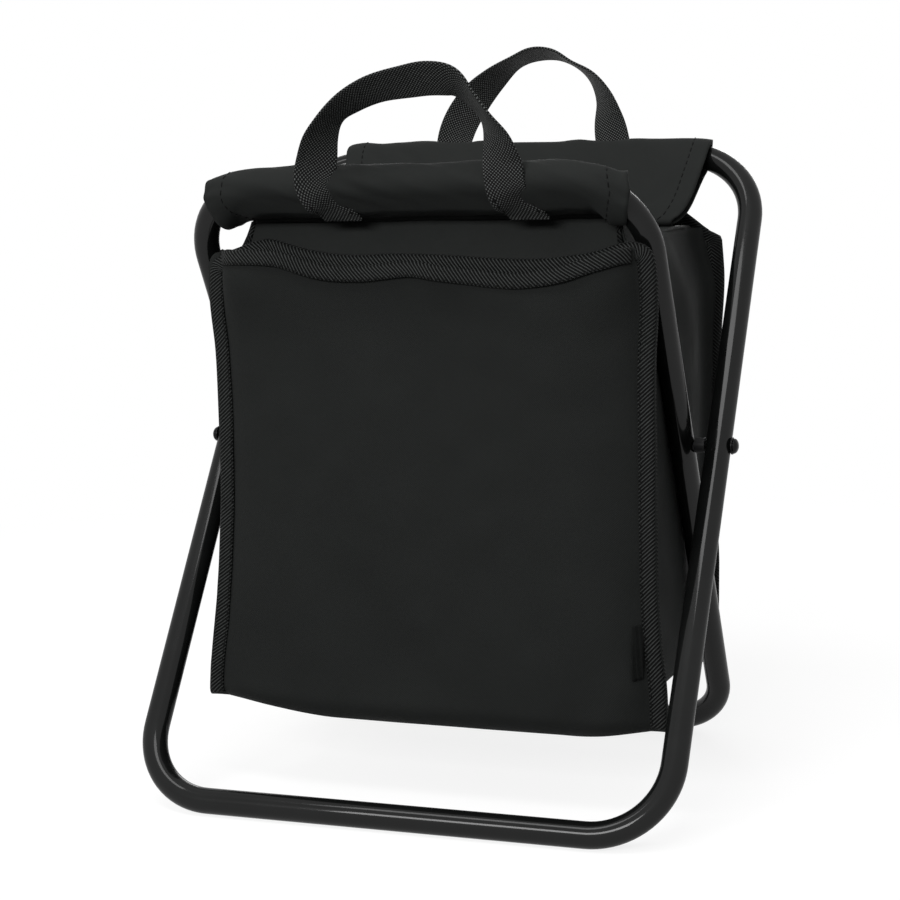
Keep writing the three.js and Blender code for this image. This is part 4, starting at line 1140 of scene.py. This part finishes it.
BODY_ROWS, BODY_COLUMNS = 97, 201
BODY_CORNER, BODY_ABOVE_FLOOR = 0.014, 0.0035
BODY_INSIDE_PANELS, BODY_INSIDE_EDGES = 0.003, 0.005
FLARE_DEPTH, FLARE_TOP = 0.006, 0.325
LABEL_THICKNESS, LABEL_WIDTH_SHARE = 0.0008, 0.75
LABEL_LEFT, LABEL_FOOT, LABEL_TILT, LABEL_STAND_OFF = 0.1350, 0.086, 0.0006, 0.0014
POCKET_FACE_DEPTH = -0.074
TAPE_FOOT, TAPE_WAVE = 0.006, 0.0006


class STOOL_OT_bag_walls(bpy.types.Operator):
    """Makes the bag's soft body: front and rear panels and one sheet for sides and bottom"""

    bl_idname = "stool.bag_walls"
    bl_label = "Bag Walls"

    def execute(self, context):
        settings = context.scene.cooler_stool
        bag, looks = settings.bag, finishes(settings)
        body_nodes = ["bag_side_gusset_left", "bag_side_gusset_right", "bag_bottom_panel"]
        for name, nodes, points, rests_on in (
            ("front_wall", ["bag_front_panel"], front_wall(bag), ["bag_body"]),
            ("rear_wall", ["bag_rear_panel"], rear_wall(bag), ["bag_body"]),
            ("bag_body", body_nodes, self.body(bag), ["front_wall", "rear_wall"]),
        ):
            made = bag_piece(name, shell(points, bag.cloth), looks["cloth"], nodes)
        return {"FINISHED"}

    @staticmethod
    def body(bag):
        """Sides and bottom as one sheet: a U lofted from the front panel to the rear panel.

        From the middle of the bottom the sheet runs out flat, turns up round a corner and climbs to
        the crest. It flares into both bindings, swells a little and is creased where the bag folds.
        """
        t = np.linspace(0, 1, BODY_ROWS)[:, None]
        c = np.linspace(-1, 1, BODY_COLUMNS)[None, :]
        corner, floor, half = BODY_CORNER, bag.floor + BODY_ABOVE_FLOOR, bag.gusset_half
        crest = bag_crest(CREST[0, 0] + t * (CREST[-1, 0] - CREST[0, 0]))
        flat, quarter = half - corner, corner * QUARTER
        run = np.abs(c) * (flat + quarter + crest - floor - corner)
        angle = np.clip((run - flat) / corner, 0.0, QUARTER)
        z = floor + corner * (1 - np.cos(angle)) + np.maximum(run - flat - quarter, 0.0)
        x = np.minimum(run, flat) + corner * np.sin(angle)
        front, rear = front_plane(z) + BODY_INSIDE_PANELS, rear_plane(z) - BODY_INSIDE_PANELS
        y = front + t * (rear - front)
        below = np.minimum(z, FLARE_TOP)
        near, far = np.exp(-(y - front) / FLARE_DEPTH), np.exp(-(rear - y) / FLARE_DEPTH)
        flare = (side_half(bag, below) - BODY_INSIDE_EDGES - half) * near
        flare = flare + (side_half(bag, below, flared=0.0) - BODY_INSIDE_EDGES - half) * far
        height = np.clip((z - floor) / (crest - floor), 0.0, 1.0)
        slack = smooth_line(
            [0.0, 0.05, 0.24, 0.43, 0.62, 0.81, 1.0], [0.0, 0.05, 0.25, 0.38, 0.95, 0.6, 0.0], t
        )
        full = smooth_line([0.0, 0.23, 0.45, 0.70, 0.87, 1.0], [0.0, 0.35, 0.7, 1.0, 0.5, 0.0], height)
        swell = bag.gusset_swell * slack * full
        between = np.sin(math.pi * t)
        waved = 1 + soft_noise(y + 0.25 * z, z * 0.45, pitch=0.030, seed=5)
        crease = 0.0009 * waved * between * height
        wide = x * (bag_half(bag, z) + flare) / half + (swell + crease) * smoothstep(0.0, 1.0, angle)
        sag = 0.0022 * between * np.maximum(1 - (x / flat) ** 2, 0.0)
        drawn_up = floor_height(bag, np.sign(c) * x / half) - bag.floor
        drawn_up = drawn_up * (1 - t) * np.exp((floor - z) / 0.03)
        across = np.sign(c) * wide + slip(bag, y, z)
        return np.stack(np.broadcast_arrays(across, y, z + drawn_up - sag), axis=-1)


class STOOL_OT_pocket(bpy.types.Operator):
    """Makes the full-width front pocket and the blank label at its side"""

    bl_idname = "stool.pocket"
    bl_label = "Pocket"

    def execute(self, context):
        settings = context.scene.cooler_stool
        bag, looks = settings.bag, finishes(settings)
        points = pocket_wall(bag)
        form = shell(points, bag.cloth)
        made = bag_piece("front_pocket", form, looks["cloth"], ["pocket_panel"])
        form = shell(self.label(points), LABEL_THICKNESS)
        bag_piece("side_label", form, looks["tag"], ["side_tag"])
        return {"FINISHED"}

    @staticmethod
    def label(points):
        """A small blank label that lies on the pocket beside its right binding, slightly curled.

        Its depth at each point is that of the nearest point on the pocket's face, then eased.
        """
        low, high = corners("side_tag")
        u, v = np.meshgrid(np.linspace(0, 1, 9), np.linspace(0, 1, 25))
        x = LABEL_LEFT + LABEL_WIDTH_SHARE * (high[0] - low[0]) * u
        z = LABEL_FOOT + (high[2] - low[2]) * v + LABEL_TILT * u
        across, depth, up = (points[..., k].ravel() for k in range(3))
        hidden = (depth > POCKET_FACE_DEPTH) * 1.0
        away = (across - x.reshape(-1, 1)) ** 2 + (up - z.reshape(-1, 1)) ** 2 + hidden
        base = eased(depth[np.argmin(away, axis=1)].reshape(x.shape), 8)
        curl = 0.0010 * (1 - u) ** 2 + 0.0006 * np.sin(math.pi * v)
        return np.stack([x, base - LABEL_STAND_OFF - curl, z], axis=-1)


class STOOL_OT_bindings(bpy.types.Operator):
    """Folds edge tape round the panels' sides and tops and the pocket's mouth, and sews it"""

    bl_idname = "stool.bindings"
    bl_label = "Bindings"

    def execute(self, context):
        settings = context.scene.cooler_stool
        bag, trim, looks = settings.bag, settings.trim, finishes(settings)
        front = border(self.above_foot(bag, front_wall(bag)))
        rear = border(self.above_foot(bag, rear_wall(bag)))[::-1]
        mouth = pocket_wall(bag)[-1, 1:-1]
        seams = []
        for name, node, line, sign, width, gap, passes, seed in (
            ("front_tape", "front_panel_binding", front, -1.0, trim.binding_width, 0.0026, 8, 3),
            ("rear_tape", "rear_panel_binding", rear, 1.0, trim.binding_width, 0.0022, 8, 7),
            ("mouth_tape", "pocket_mouth_binding", mouth, -1.0, trim.mouth_width, 0.0008, 3, 9),
        ):
            forward = np.array([0.0, sign, 0.0])
            points, uv, seam = tape_along(
                line, forward, width, trim.binding_thickness, gap, passes, TAPE_WAVE, seed
            )
            bag_piece(name, swept(points, uv=uv), looks["tape"], [node])
            seams.append(seam)
        fold_with_bag(sew("binding_stitches", seams, trim, looks["thread"], "bag"))
        return {"FINISHED"}

    @staticmethod
    def above_foot(bag, points):
        """The rows of a panel's grid whose left end stands above the rolled lower edge."""
        return points[points[:, 0, 2] > bag.floor + TAPE_FOOT]


# Roof and zip


ROOF_SAG, ROOF_FOLD = 0.0035, 0.0009
ROOF_SEAM_RADIUS, ROOF_SEAM_SIDES = 0.0017, 12
FLAP_THICKNESS, FLAP_HALF, FLAP_NARROWING, FLAP_SHORT_OF_BAR = 0.0014, 0.119, 0.030, 0.0105
FRONT_FLAP_KEEP, REAR_FLAP_KEEP = 0.32, 0.20
ZIP_TAPE_THICKNESS, ZIP_TAPE_INSIDE = 0.0009, 0.0010
ZIP_RIPPLE, ZIP_RIPPLE_LENGTH = 0.0003, 0.011
METAL_EDGE, METAL_WELD = 0.0003, 0.00001


class STOOL_OT_roof(bpy.types.Operator):
    """Makes the two halves of the bag's top, their seams and the flaps that rise into the sleeves"""

    bl_idname = "stool.roof"
    bl_label = "Roof"

    def execute(self, context):
        settings = context.scene.cooler_stool
        bag, looks = settings.bag, finishes(settings)
        for name, node, part in (
            ("roof_front", "top_front_panel", CREST[:3]),
            ("roof_rear", "top_rear_panel", CREST[:2:-1]),
        ):
            points = self.half_roof(bag, part)
            # The roof takes the lighter copy of the cloth: painted light against the shade under the
            # sleeves.
            made = bag_piece(name, shell(points, bag.cloth), looks["sleeve"], [node])
        for side, sign in (("left", -1.0), ("right", 1.0)):
            form = swept(self.rolled_seam(bag, sign))
            bag_piece(f"roof_seam_{side}", form, looks["tape"], ())
        for name, ridge, plug, keep in (
            ("seam_flap_front", FRONT_RIDGE, "inner_frame_joint_plug", FRONT_FLAP_KEEP),
            ("seam_flap_rear", REAR_RIDGE, "outer_frame_joint_plug", REAR_FLAP_KEEP),
        ):
            form = shell(self.flap(bag, ridge, middle(plug)[1:]), FLAP_THICKNESS)
            bag_piece(name, form, looks["cloth"], ())
        return {"FINISHED"}

    @staticmethod
    def half_roof(bag, part):
        """One slope and one flat from hem to zip, eased over the ridge, sagging between its ends."""
        line = eased(resample(part, 61), 5)
        a = np.linspace(-1, 1, 97)[None, :]
        y, z = line[:, :1], line[:, 1:]
        from_ridge = (y - part[1, 0]) / (part[2, 0] - part[1, 0])
        sag = ROOF_SAG * np.sin(math.pi * np.clip(from_ridge, 0, 1)) * (1 - a**2)
        fold = ROOF_FOLD * soft_noise(a * 0.13, y * 0.5, pitch=0.034, seed=41) * (1 - a**2)
        x = a * bag_half(bag, z) + slip(bag, y, z)
        return np.stack(np.broadcast_arrays(x, y, z - sag + fold), axis=-1)

    @staticmethod
    def rolled_seam(bag, sign):
        """A thin rolled seam along one edge of the roof: a circle carried along the crest."""
        y = np.linspace(CREST[0, 0], CREST[-1, 0], 180)
        z = bag_crest(y)
        line = np.stack([sign * bag_half(bag, z) + slip(bag, y, z), y, z], axis=1)
        line = eased(resample(line, 160), 4)
        along = unit(np.gradient(line, axis=0))
        side = unit(np.cross(along, [1.0, 0.0, 0.0]))
        over = np.cross(side, along)
        turn = full_turn(ROOF_SEAM_SIDES)[None, :, None]
        ring = np.cos(turn) * side[:, None] + np.sin(turn) * over[:, None]
        return line[:, None] + ROOF_SEAM_RADIUS * ring

    @staticmethod
    def flap(bag, ridge, bar):
        """The seam allowance that runs from a ridge up into its sleeve, towards the bar."""
        a = np.linspace(-1, 1, 41)[None, :]
        b = np.linspace(0, 1, 9)[:, None]
        reach = bar - ridge
        reach = reach * (1 - FLAP_SHORT_OF_BAR / np.hypot(*reach))
        y, z = ridge[0] + b * reach[0], ridge[1] - 0.001 + b * reach[1]
        x = a * (FLAP_HALF - FLAP_NARROWING * b) + (1 - b) * slip(bag, *ridge)
        return np.stack(np.broadcast_arrays(x, y, z), axis=-1)


class STOOL_OT_zip(bpy.types.Operator):
    """Makes the zip in the bag's top: two tapes, the coil, slider and pull"""

    bl_idname = "stool.zip"
    bl_label = "Zip"

    def execute(self, context):
        settings = context.scene.cooler_stool
        bag, trim, looks = settings.bag, settings.trim, finishes(settings)
        for node in ("zip_tape_front", "zip_tape_rear"):
            form = shell(self.tape(bag, node), ZIP_TAPE_THICKNESS)
            make_piece(f"{node}_weave", form, looks["zip_tape"], "bag", [node])
        form = self.coil(trim.coil_pitch)
        make_piece("zip_teeth", form, looks["plastic"], "bag", ["zip_coil"])
        for node in ("zip_slider", "zip_pull"):
            piece = refinish(node, looks["zip_metal"])
            weld = piece.modifiers.new("joined", "WELD")
            weld.merge_threshold = METAL_WELD
            soft = piece.modifiers.new("eased", "BEVEL")
            soft.width = METAL_EDGE
            soft.segments = 2
        return {"FINISHED"}

    @staticmethod
    def tape(bag, node):
        """A long flat tape with a slight ripple, from one edge of the roof to the other."""
        low, high = corners(node)
        reach = bag_half(bag, high[2]) - ZIP_TAPE_INSIDE
        x = np.linspace(-reach, reach, 120)[None, :] + slip(bag, high[1], high[2])
        y = np.linspace(low[1], high[1], 9)[:, None]
        across = np.sin(math.pi * (y - low[1]) / (high[1] - low[1]))
        ripple = ZIP_RIPPLE * np.sin(x / ZIP_RIPPLE_LENGTH) * across
        return np.stack(np.broadcast_arrays(x, y, (low[2] + high[2]) / 2 + ripple), axis=-1)

    @staticmethod
    def coil(pitch):
        """Two rows of short slanted turns that mesh along the middle."""
        low, high = corners("zip_coil")
        size = high - low
        x = np.arange(low[0] + pitch, high[0] - pitch, pitch / 2)
        side = np.where(np.arange(len(x)) % 2 == 0, 1.0, -1.0)
        y = (low[1] + high[1]) / 2 + side * size[1] * 0.15
        places = np.stack([x, y, np.full(len(x), (low[2] + high[2]) / 2)], axis=1)
        first = unit(np.stack([np.full(len(x), 0.25), side, np.zeros(len(x))], axis=1))
        third = np.tile([0.0, 0.0, 1.0], (len(x), 1))
        axes = np.stack([first, np.cross(third, first), third], axis=1)
        return repeated(*bead(size[1] * 0.70, size[2] * 0.34), places, axes)


# Sleeves


SLEEVE_ROWS, SLEEVE_POINTS, SLEEVE_DIRECTIONS = 110, 96, 360
SEAM_RADIUS, SLACK_RADIUS = 0.0018, 0.0040
BEND_SPANNED_SHARE, INNER_BEND_REACH = 0.72, 0.036
FOLD_SIZE, GATHER_SIZE = 0.0009, 0.0014
HEM_ROWS, HEM_STAND_OFF = (5, -6), 0.0007


class STOOL_OT_sleeves(bpy.types.Operator):
    """Wraps a soft sleeve round each top bar, drawn down to the bag's ridge"""

    bl_idname = "stool.sleeves"
    bl_label = "Sleeves"

    def execute(self, context):
        settings = context.scene.cooler_stool
        trim, looks = settings.trim, finishes(settings)
        for node, body, points in (
            ("front_sleeve", "inner_frame", front_sleeve(settings)),
            ("rear_sleeve", "outer_frame", rear_sleeve(settings)),
        ):
            form = shell(points, trim.sleeve_cloth, wrap=True)
            # The sleeves take the lighter copy of the cloth: painted light.
            made = make_piece(f"{node}_cloth", form, looks["sleeve"], body, [node])
            seams = [self.hem(points, row) for row in HEM_ROWS]
            sew(f"{node}_stitches", seams, trim, looks["thread"], body)
        return {"FINISHED"}

    @staticmethod
    def hem(points, row):
        """A stitched line round a sleeve near one of its ends."""
        line, out = come_round(points)[row], come_round(outward(points))[row]
        return line + out * HEM_STAND_OFF, unit(np.gradient(line, axis=0)), out


def taut_outlines(bar, lean, room, level, tall, seam, slack):
    """The taut outline of a sleeve at each place along it, with evenly spaced points.

    In each direction it is the farthest point of the tube's section, an ellipse, and of two small
    circles at the seam and at the slack.
    """
    up = np.array([math.sin(lean), math.cos(lean)])
    side = np.array([math.cos(lean), -math.sin(lean)])
    turn = full_turn(SLEEVE_DIRECTIONS) + math.atan2(seam[1] - bar[1], seam[0] - bar[0])
    way = np.stack([np.cos(turn), np.sin(turn)], axis=1)
    long_way, short_way = way @ up, way @ side
    outlines = []
    for rise, reach in zip(level, tall):
        size = np.sqrt((reach * long_way) ** 2 + (room * short_way) ** 2)
        oval = (reach**2 * long_way)[:, None] * up + (room**2 * short_way)[:, None] * side
        on_tube = bar + up * rise + oval / size[:, None]
        spots = np.stack([on_tube, seam + SEAM_RADIUS * way, slack + SLACK_RADIUS * way])
        farthest = np.argmax(np.sum(spots * way, axis=2), axis=0)
        outline = spots[farthest, np.arange(len(way))]
        outlines.append(resample(np.concatenate([outline, outline[:1]]), SLEEVE_POINTS + 1)[:-1])
    return np.array(outlines)


def sleeve_folds(x, ends, feet, seed):
    """Height of a sleeve's folds: they gather beside the handles' feet and at both ends, not at the seam."""
    at = x[:, None]
    round_it = np.linspace(0, 1, SLEEVE_POINTS, endpoint=False)[None, :]
    beside = sum(bell(np.abs(at - foot), 0.019, 0.014) for foot in feet)
    ended = np.exp(-(at - ends[0]) / 0.022) + np.exp(-(ends[1] - at) / 0.022)
    size = FOLD_SIZE + GATHER_SIZE * np.clip(beside + ended, 0.0, 1.3)
    noise = soft_noise(at + 0.05 * np.sin(TURN * round_it), 0.060 * round_it, pitch=0.013, seed=seed)
    return size * (0.5 + 0.5 * noise) * np.sin(math.pi * round_it) ** 0.3


def drawn_in(points, bar, seam, room, ends, taper):
    """Draws both ends of a sleeve in towards its seam by the taper's two lengths.

    The first draws evenly, the second as a rounded corner. The layer behind ends a little earlier
    than the one in front.
    """
    fall = seam - bar
    from_bar = points[..., 1:] - bar
    low = np.clip((from_bar @ fall) / (fall @ fall), 0.0, 1.0)
    rounded = 1 - np.sqrt(1 - np.clip((low - 0.62) / 0.38, 0.0, 1.0) ** 2)
    across = np.array([-fall[1], fall[0]]) / np.hypot(*fall)
    behind = np.clip(from_bar @ across * np.sign(across[0]) + room, 0.0, 2 * room)
    drawn = taper[0] * low + taper[1] * rounded + 0.25 * behind
    centre = (ends[0] + ends[1]) / 2
    x = centre + (points[..., 0] - centre) * (1 - 2 * drawn / (ends[1] - ends[0]))
    return np.concatenate([x[..., None], points[..., 1:]], axis=2)


def sleeve_grid(settings, body, bend, sign, seam, slack, puff, ends, taper, feet, seed):
    """A sleeve round a top bar: its taut outlines with folds on them, drawn in at both ends.

    Where the tube bends down, its section at x is bounded by the bend's inner and outer circles, and
    the stiff cloth spans above the outer one.
    """
    sizes, trim = settings.frame, settings.trim
    pivot, bar = pivot_place()[1:], middle(f"{body}_joint_plug")[1:]
    lean = sign * math.atan2(abs(bar[0] - pivot[0]), bar[1] - pivot[1])
    room = sizes.tube_radius + trim.sleeve_ease + trim.sleeve_cloth / 2
    half = corners(f"{body}_tube")[1][0] - sizes.tube_radius
    x = np.linspace(*ends, SLEEVE_ROWS)
    into = np.clip(np.abs(x) - (half - bend), 0.0, bend - room - 0.001)
    upper = np.sqrt((bend + room) ** 2 - (BEND_SPANNED_SHARE * into) ** 2) - bend
    upper = upper + puff * smoothstep(0.06, -0.12, x)
    lower = np.sqrt((bend - room) ** 2 - np.minimum(into, INNER_BEND_REACH) ** 2) - bend
    outlines = taut_outlines(bar, lean, room, (upper + lower) / 2, (upper - lower) / 2, seam, slack)
    across = np.broadcast_to(x[:, None, None], outlines.shape[:2] + (1,))
    points = np.concatenate([across, outlines], axis=2)
    points = points + outward(points) * sleeve_folds(x, ends, feet, seed)[..., None]
    return drawn_in(points, bar, seam, room, ends, taper)


def front_sleeve(settings):
    """The sleeve on the front top bar, slack below the bar."""
    return sleeve_grid(
        settings,
        "inner_frame",
        bend=settings.frame.inner_top_bend,
        sign=-1.0,
        seam=FRONT_RIDGE + np.array([0.0005, 0.0036]),
        slack=middle("inner_frame_joint_plug")[1:] + np.array([0.0060, -0.0130]),
        puff=0.0,
        ends=(-0.1310, 0.1400),
        taper=(0.009, 0.002),
        feet=(-0.048, 0.070),
        seed=51,
    )


def rear_sleeve(settings):
    """The sleeve on the rear top bar, puffed up on its left."""
    return sleeve_grid(
        settings,
        "outer_frame",
        bend=settings.frame.outer_top_bend,
        sign=1.0,
        seam=REAR_RIDGE + np.array([-0.0005, 0.0042]),
        slack=middle("outer_frame_joint_plug")[1:],
        puff=0.0035,
        ends=(-0.1275, 0.1375),
        taper=(0.009, 0.008),
        feet=(-0.052, 0.065),
        seed=57,
    )


# Handles


STRAP_ROWS, STRAP_FLAT_POINTS, STRAP_END_POINTS = 240, 15, 7
FOOT_TURN = (0.022, 0.004)
LEAST_SEEN = 0.08
STRAP_SEAM_FROM_EDGE, STRAP_SEAM_STAND_OFF = 0.0022, 0.0001
FIRST_FOOT, LAST_FOOT = slice(2, 26), slice(-26, -2)


class STOOL_OT_handles(bpy.types.Operator):
    """Bends webbing into the two carrying handles and sews their feet"""

    bl_idname = "stool.handles"
    bl_label = "Handles"

    def execute(self, context):
        settings = context.scene.cooler_stool
        trim, looks = settings.trim, finishes(settings)
        for name, body, (line, seen) in (
            ("front_strap", "front_handle", self.front_line()),
            ("rear_strap", "rear_handle", self.rear_line()),
        ):
            points, uv, seams = self.strap(line, seen, trim)
            make_piece(name, swept(points, uv=uv), looks["webbing"], body, [body])
            sew(f"{name}_stitches", seams, trim, looks["thread"], body)
        return {"FINISHED"}

    def front_line(self):
        """The front handle: up the sleeve's front, then a slumped arch with a sharp turn on its left.

        Each row holds the place across, the height and the share of the width that faces forward.
        """
        line = np.array(
            [
                [-0.0440, 0.3620, 1.00], [-0.0545, 0.3850, 0.97], [-0.0512, 0.3995, 0.82],
                [-0.0477, 0.4115, 0.54], [-0.0410, 0.4222, 0.26], [-0.0275, 0.4318, 0.42],
                [-0.0120, 0.4385, 0.56], [0.0100, 0.4425, 0.70], [0.0260, 0.4440, 0.76],
                [0.0390, 0.4418, 0.70], [0.0490, 0.4320, 0.48], [0.0570, 0.4215, 0.46],
                [0.0630, 0.4080, 0.82], [0.0653, 0.3940, 1.00], [0.0673, 0.3750, 1.00],
                [0.0755, 0.3610, 1.00],
            ]
        )
        heights = [0.362, 0.370, 0.376, 0.3848, 0.396, 0.452]
        depths = [0.0080, -0.0005, -0.0078, -0.0118, -0.0135, -0.0240]
        return self.through(line, heights, depths, "inner_frame_joint_plug")

    def rear_line(self):
        """The rear handle: up behind the rear sleeve, then a higher arch that lies nearly flat at its top.

        Each row holds the place across, the height and the share of the width that faces forward.
        """
        line = np.array(
            [
                [-0.0500, 0.3690, 1.00], [-0.0545, 0.3950, 1.00], [-0.0535, 0.4090, 1.00],
                [-0.0500, 0.4210, 0.95], [-0.0410, 0.4365, 0.85], [-0.0240, 0.4540, 0.50],
                [-0.0085, 0.4650, 0.20], [0.0060, 0.4700, 0.30], [0.0215, 0.4688, 0.25],
                [0.0345, 0.4618, 0.15], [0.0480, 0.4515, 0.40], [0.0560, 0.4385, 0.65],
                [0.0605, 0.4210, 0.95], [0.0640, 0.4050, 1.00], [0.0660, 0.3690, 1.00],
            ]
        )
        heights = [0.367, 0.380, 0.388, 0.398, 0.410, 0.475]
        depths = [-0.0118, -0.0010, 0.0065, 0.0105, 0.0128, 0.0215]
        return self.through(line, heights, depths, "outer_frame_joint_plug")

    @staticmethod
    def through(line, heights, depths, plug):
        """A smooth line through places across and up, whose depth from the bar follows its height."""
        run = run_length(line[:, :2])
        at = np.linspace(0, run[-1], 260)
        x, z, seen = (smooth_line(run, line[:, k], at) for k in range(3))
        y = middle(plug)[1] + smooth_line(heights, depths, z)
        return np.stack([x, y, z], axis=1), seen

    @staticmethod
    def strap(line, seen, trim):
        """Flat webbing with round selvedges along a line.

        At its feet its face looks forward and its cut ends are level. Towards the top of the arch it
        turns about its own length, so that its outer face looks up: the angle's cosine is the share of
        its width that faces forward.
        """
        path = eased(resample(line, STRAP_ROWS), 6)
        along = unit(np.gradient(path, axis=0))
        front = np.array([0.0, -1.0, 0.0])
        face = unit(front - along * (along @ front)[:, None])
        across = np.cross(along, face)
        run = run_length(path)
        foot = smoothstep(*FOOT_TURN, np.minimum(run, run[-1] - run))[:, None]
        level = np.sign(across[:, :1]) * np.array([[1.0, 0.0, 0.0]])
        across = unit(across * (1 - foot) + level * foot)
        share = np.interp(run, run_length(line), np.clip(seen, LEAST_SEEN, 1.0))
        angle = eased(np.arccos(share), 12)
        turned = across * np.cos(angle)[:, None] - face * np.sin(angle)[:, None]
        outer = unit(np.cross(turned, along))
        wide, thick = trim.strap_width / 2 - trim.strap_thickness / 2, trim.strap_thickness / 2
        flat = np.linspace(-wide, wide, STRAP_FLAT_POINTS)
        level = np.full(STRAP_FLAT_POINTS, thick)
        end = np.linspace(-QUARTER, QUARTER, STRAP_END_POINTS)[1:-1]
        u = np.concatenate([flat, wide + thick * np.cos(end), -flat, -wide - thick * np.cos(end)])
        v = np.concatenate([-level, thick * np.sin(end), level, -thick * np.sin(end)])
        points = path[:, None] + turned[:, None] * u[None, :, None] + outer[:, None] * v[None, :, None]
        uv = np.stack(np.meshgrid(np.concatenate([u, u[:1]]), run), axis=-1)
        seams = []
        for sign in (-1.0, 1.0):
            aside, stand_off = sign * (wide - STRAP_SEAM_FROM_EDGE), thick + STRAP_SEAM_STAND_OFF
            place = path + turned * aside + outer * stand_off
            seams += [(place[span], along[span], outer[span]) for span in (FIRST_FOOT, LAST_FOOT)]
        return points, uv, seams


# Lining


FOAM_FILL, FOAM_SQUARENESS = 0.9, 0.16
REAR_FOAM_HALF, REAR_FOAM_GAP = 0.0025, 0.0016
FILM_THICKNESS, FILM_INSIDE, FILM_FOOT = 0.0010, 0.001, 0.004
FILM_SQUARENESS, FILM_CRUMPLE = 0.22, 0.008
FILM_WALL_ROWS, FILM_FLOOR_ROWS = 26, 14


class STOOL_OT_lining(bpy.types.Operator):
    """Makes the foam sheets and the silvered liner inside the bag"""

    bl_idname = "stool.lining"
    bl_label = "Lining"

    def execute(self, context):
        settings = context.scene.cooler_stool
        bag, looks = settings.bag, finishes(settings)
        for node in ("bottom_foam", "front_foam", "rear_foam", "side_foam_left", "side_foam_right"):
            form = swept(self.sheet(bag, node))
            made = bag_piece(f"{node}_sheet", form, looks["foam"], [node])
        form = shell(self.liner(bag), FILM_THICKNESS, wrap=True)
        bag_piece("film_liner", form, looks["liner"], ["inner_liner"])
        return {"FINISHED"}

    @staticmethod
    def sheet(bag, node):
        """A foam sheet: a ball pushed out to a box, slanted like its wall and slipped with the bag."""
        low, high = corners(node)
        centre, half = (low + high) / 2, (high - low) / 2
        if node == "rear_foam":
            half[1] = REAR_FOAM_HALF
        tilt = np.linspace(0.03, math.pi - 0.03, 41)[:, None]
        turn = full_turn(64)[None, :]
        wide = squared_off(np.sin(tilt), FOAM_SQUARENESS)
        x = half[0] * wide * squared_off(np.cos(turn), FOAM_SQUARENESS)
        y = half[1] * wide * squared_off(np.sin(turn), FOAM_SQUARENESS)
        z = centre[2] + half[2] * squared_off(np.cos(tilt), FOAM_SQUARENESS) * np.ones_like(turn)
        y = y + (rear_plane(z) - half[1] - REAR_FOAM_GAP if node == "rear_foam" else centre[1])
        if node.startswith("side_foam"):
            y = low[1] + (y - low[1]) * (1 - rear_slope() * (high[2] - z) / (high[1] - low[1]))
        return np.stack([centre[0] + x + slip(bag, y, z), y, z], axis=-1)

    @staticmethod
    def liner(bag):
        """An open film bag: rounded rings from its rim down to a flat bottom, slipped with the bag."""
        low, high = corners("inner_liner")
        turn = full_turn(120)[None, :]
        across = squared_off(np.cos(turn), FILM_SQUARENESS)
        along = squared_off(np.sin(turn), FILM_SQUARENESS)
        inset = np.concatenate([np.ones(FILM_WALL_ROWS), np.linspace(0.97, 0.02, FILM_FLOOR_ROWS)])[:, None]
        wall = high[2] - (high[2] - low[2] - FILM_FOOT) * np.linspace(0, 1, FILM_WALL_ROWS)
        level = np.concatenate([wall, np.full(FILM_FLOOR_ROWS, low[2] + FILM_INSIDE)])[:, None]
        front = low[1] + FILM_INSIDE
        rear = high[1] - FILM_INSIDE - rear_slope() * (high[2] - level)
        noise = soft_noise(turn * 0.12, level, pitch=0.035, seed=61)
        inset = inset * (1 - FILM_CRUMPLE * (0.5 + 0.5 * noise))
        x = (high[0] - FILM_INSIDE) * across * inset
        y = (front + rear) / 2 + (rear - front) / 2 * along * inset
        return np.stack(np.broadcast_arrays(x + slip(bag, y, level), y, level), axis=-1)


# Add-on


OPERATORS = (
    STOOL_OT_stage,
    STOOL_OT_frame_tubes,
    STOOL_OT_pivots,
    STOOL_OT_bag_walls,
    STOOL_OT_pocket,
    STOOL_OT_bindings,
    STOOL_OT_roof,
    STOOL_OT_zip,
    STOOL_OT_sleeves,
    STOOL_OT_handles,
    STOOL_OT_lining,
)


class STOOL_PT_sidebar(bpy.types.Panel):
    """Lists the stool's pieces in the sidebar"""

    bl_idname = "STOOL_PT_sidebar"
    bl_label = "Cooler Stool"
    bl_space_type = "VIEW_3D"
    bl_region_type = "UI"
    bl_category = "Cooler Stool"

    def draw(self, context):
        for operator in OPERATORS:
            self.layout.operator(operator.bl_idname)


GROUPS = (StoolFrameSizes, StoolBagSizes, StoolTrimSizes, StoolFinishes, StoolSettings)
CLASSES = GROUPS + OPERATORS + (STOOL_PT_sidebar,)


def register():
    """Adds the settings, operators and panel to Blender."""
    for made in CLASSES:
        bpy.utils.register_class(made)
    bpy.types.Scene.cooler_stool = PointerProperty(type=StoolSettings)


def unregister():
    """Takes the settings, operators and panel out of Blender."""
    del bpy.types.Scene.cooler_stool
    for made in reversed(CLASSES):
        bpy.utils.unregister_class(made)


def main():
    """Builds the stool piece by piece."""
    register()
    bpy.ops.stool.stage()
    bpy.ops.stool.frame_tubes()
    bpy.ops.stool.pivots()
    bpy.ops.stool.bag_walls()
    bpy.ops.stool.pocket()
    bpy.ops.stool.bindings()
    bpy.ops.stool.roof()
    bpy.ops.stool.zip()
    bpy.ops.stool.sleeves()
    bpy.ops.stool.handles()
    bpy.ops.stool.lining()


if __name__ == "__main__":
    main()
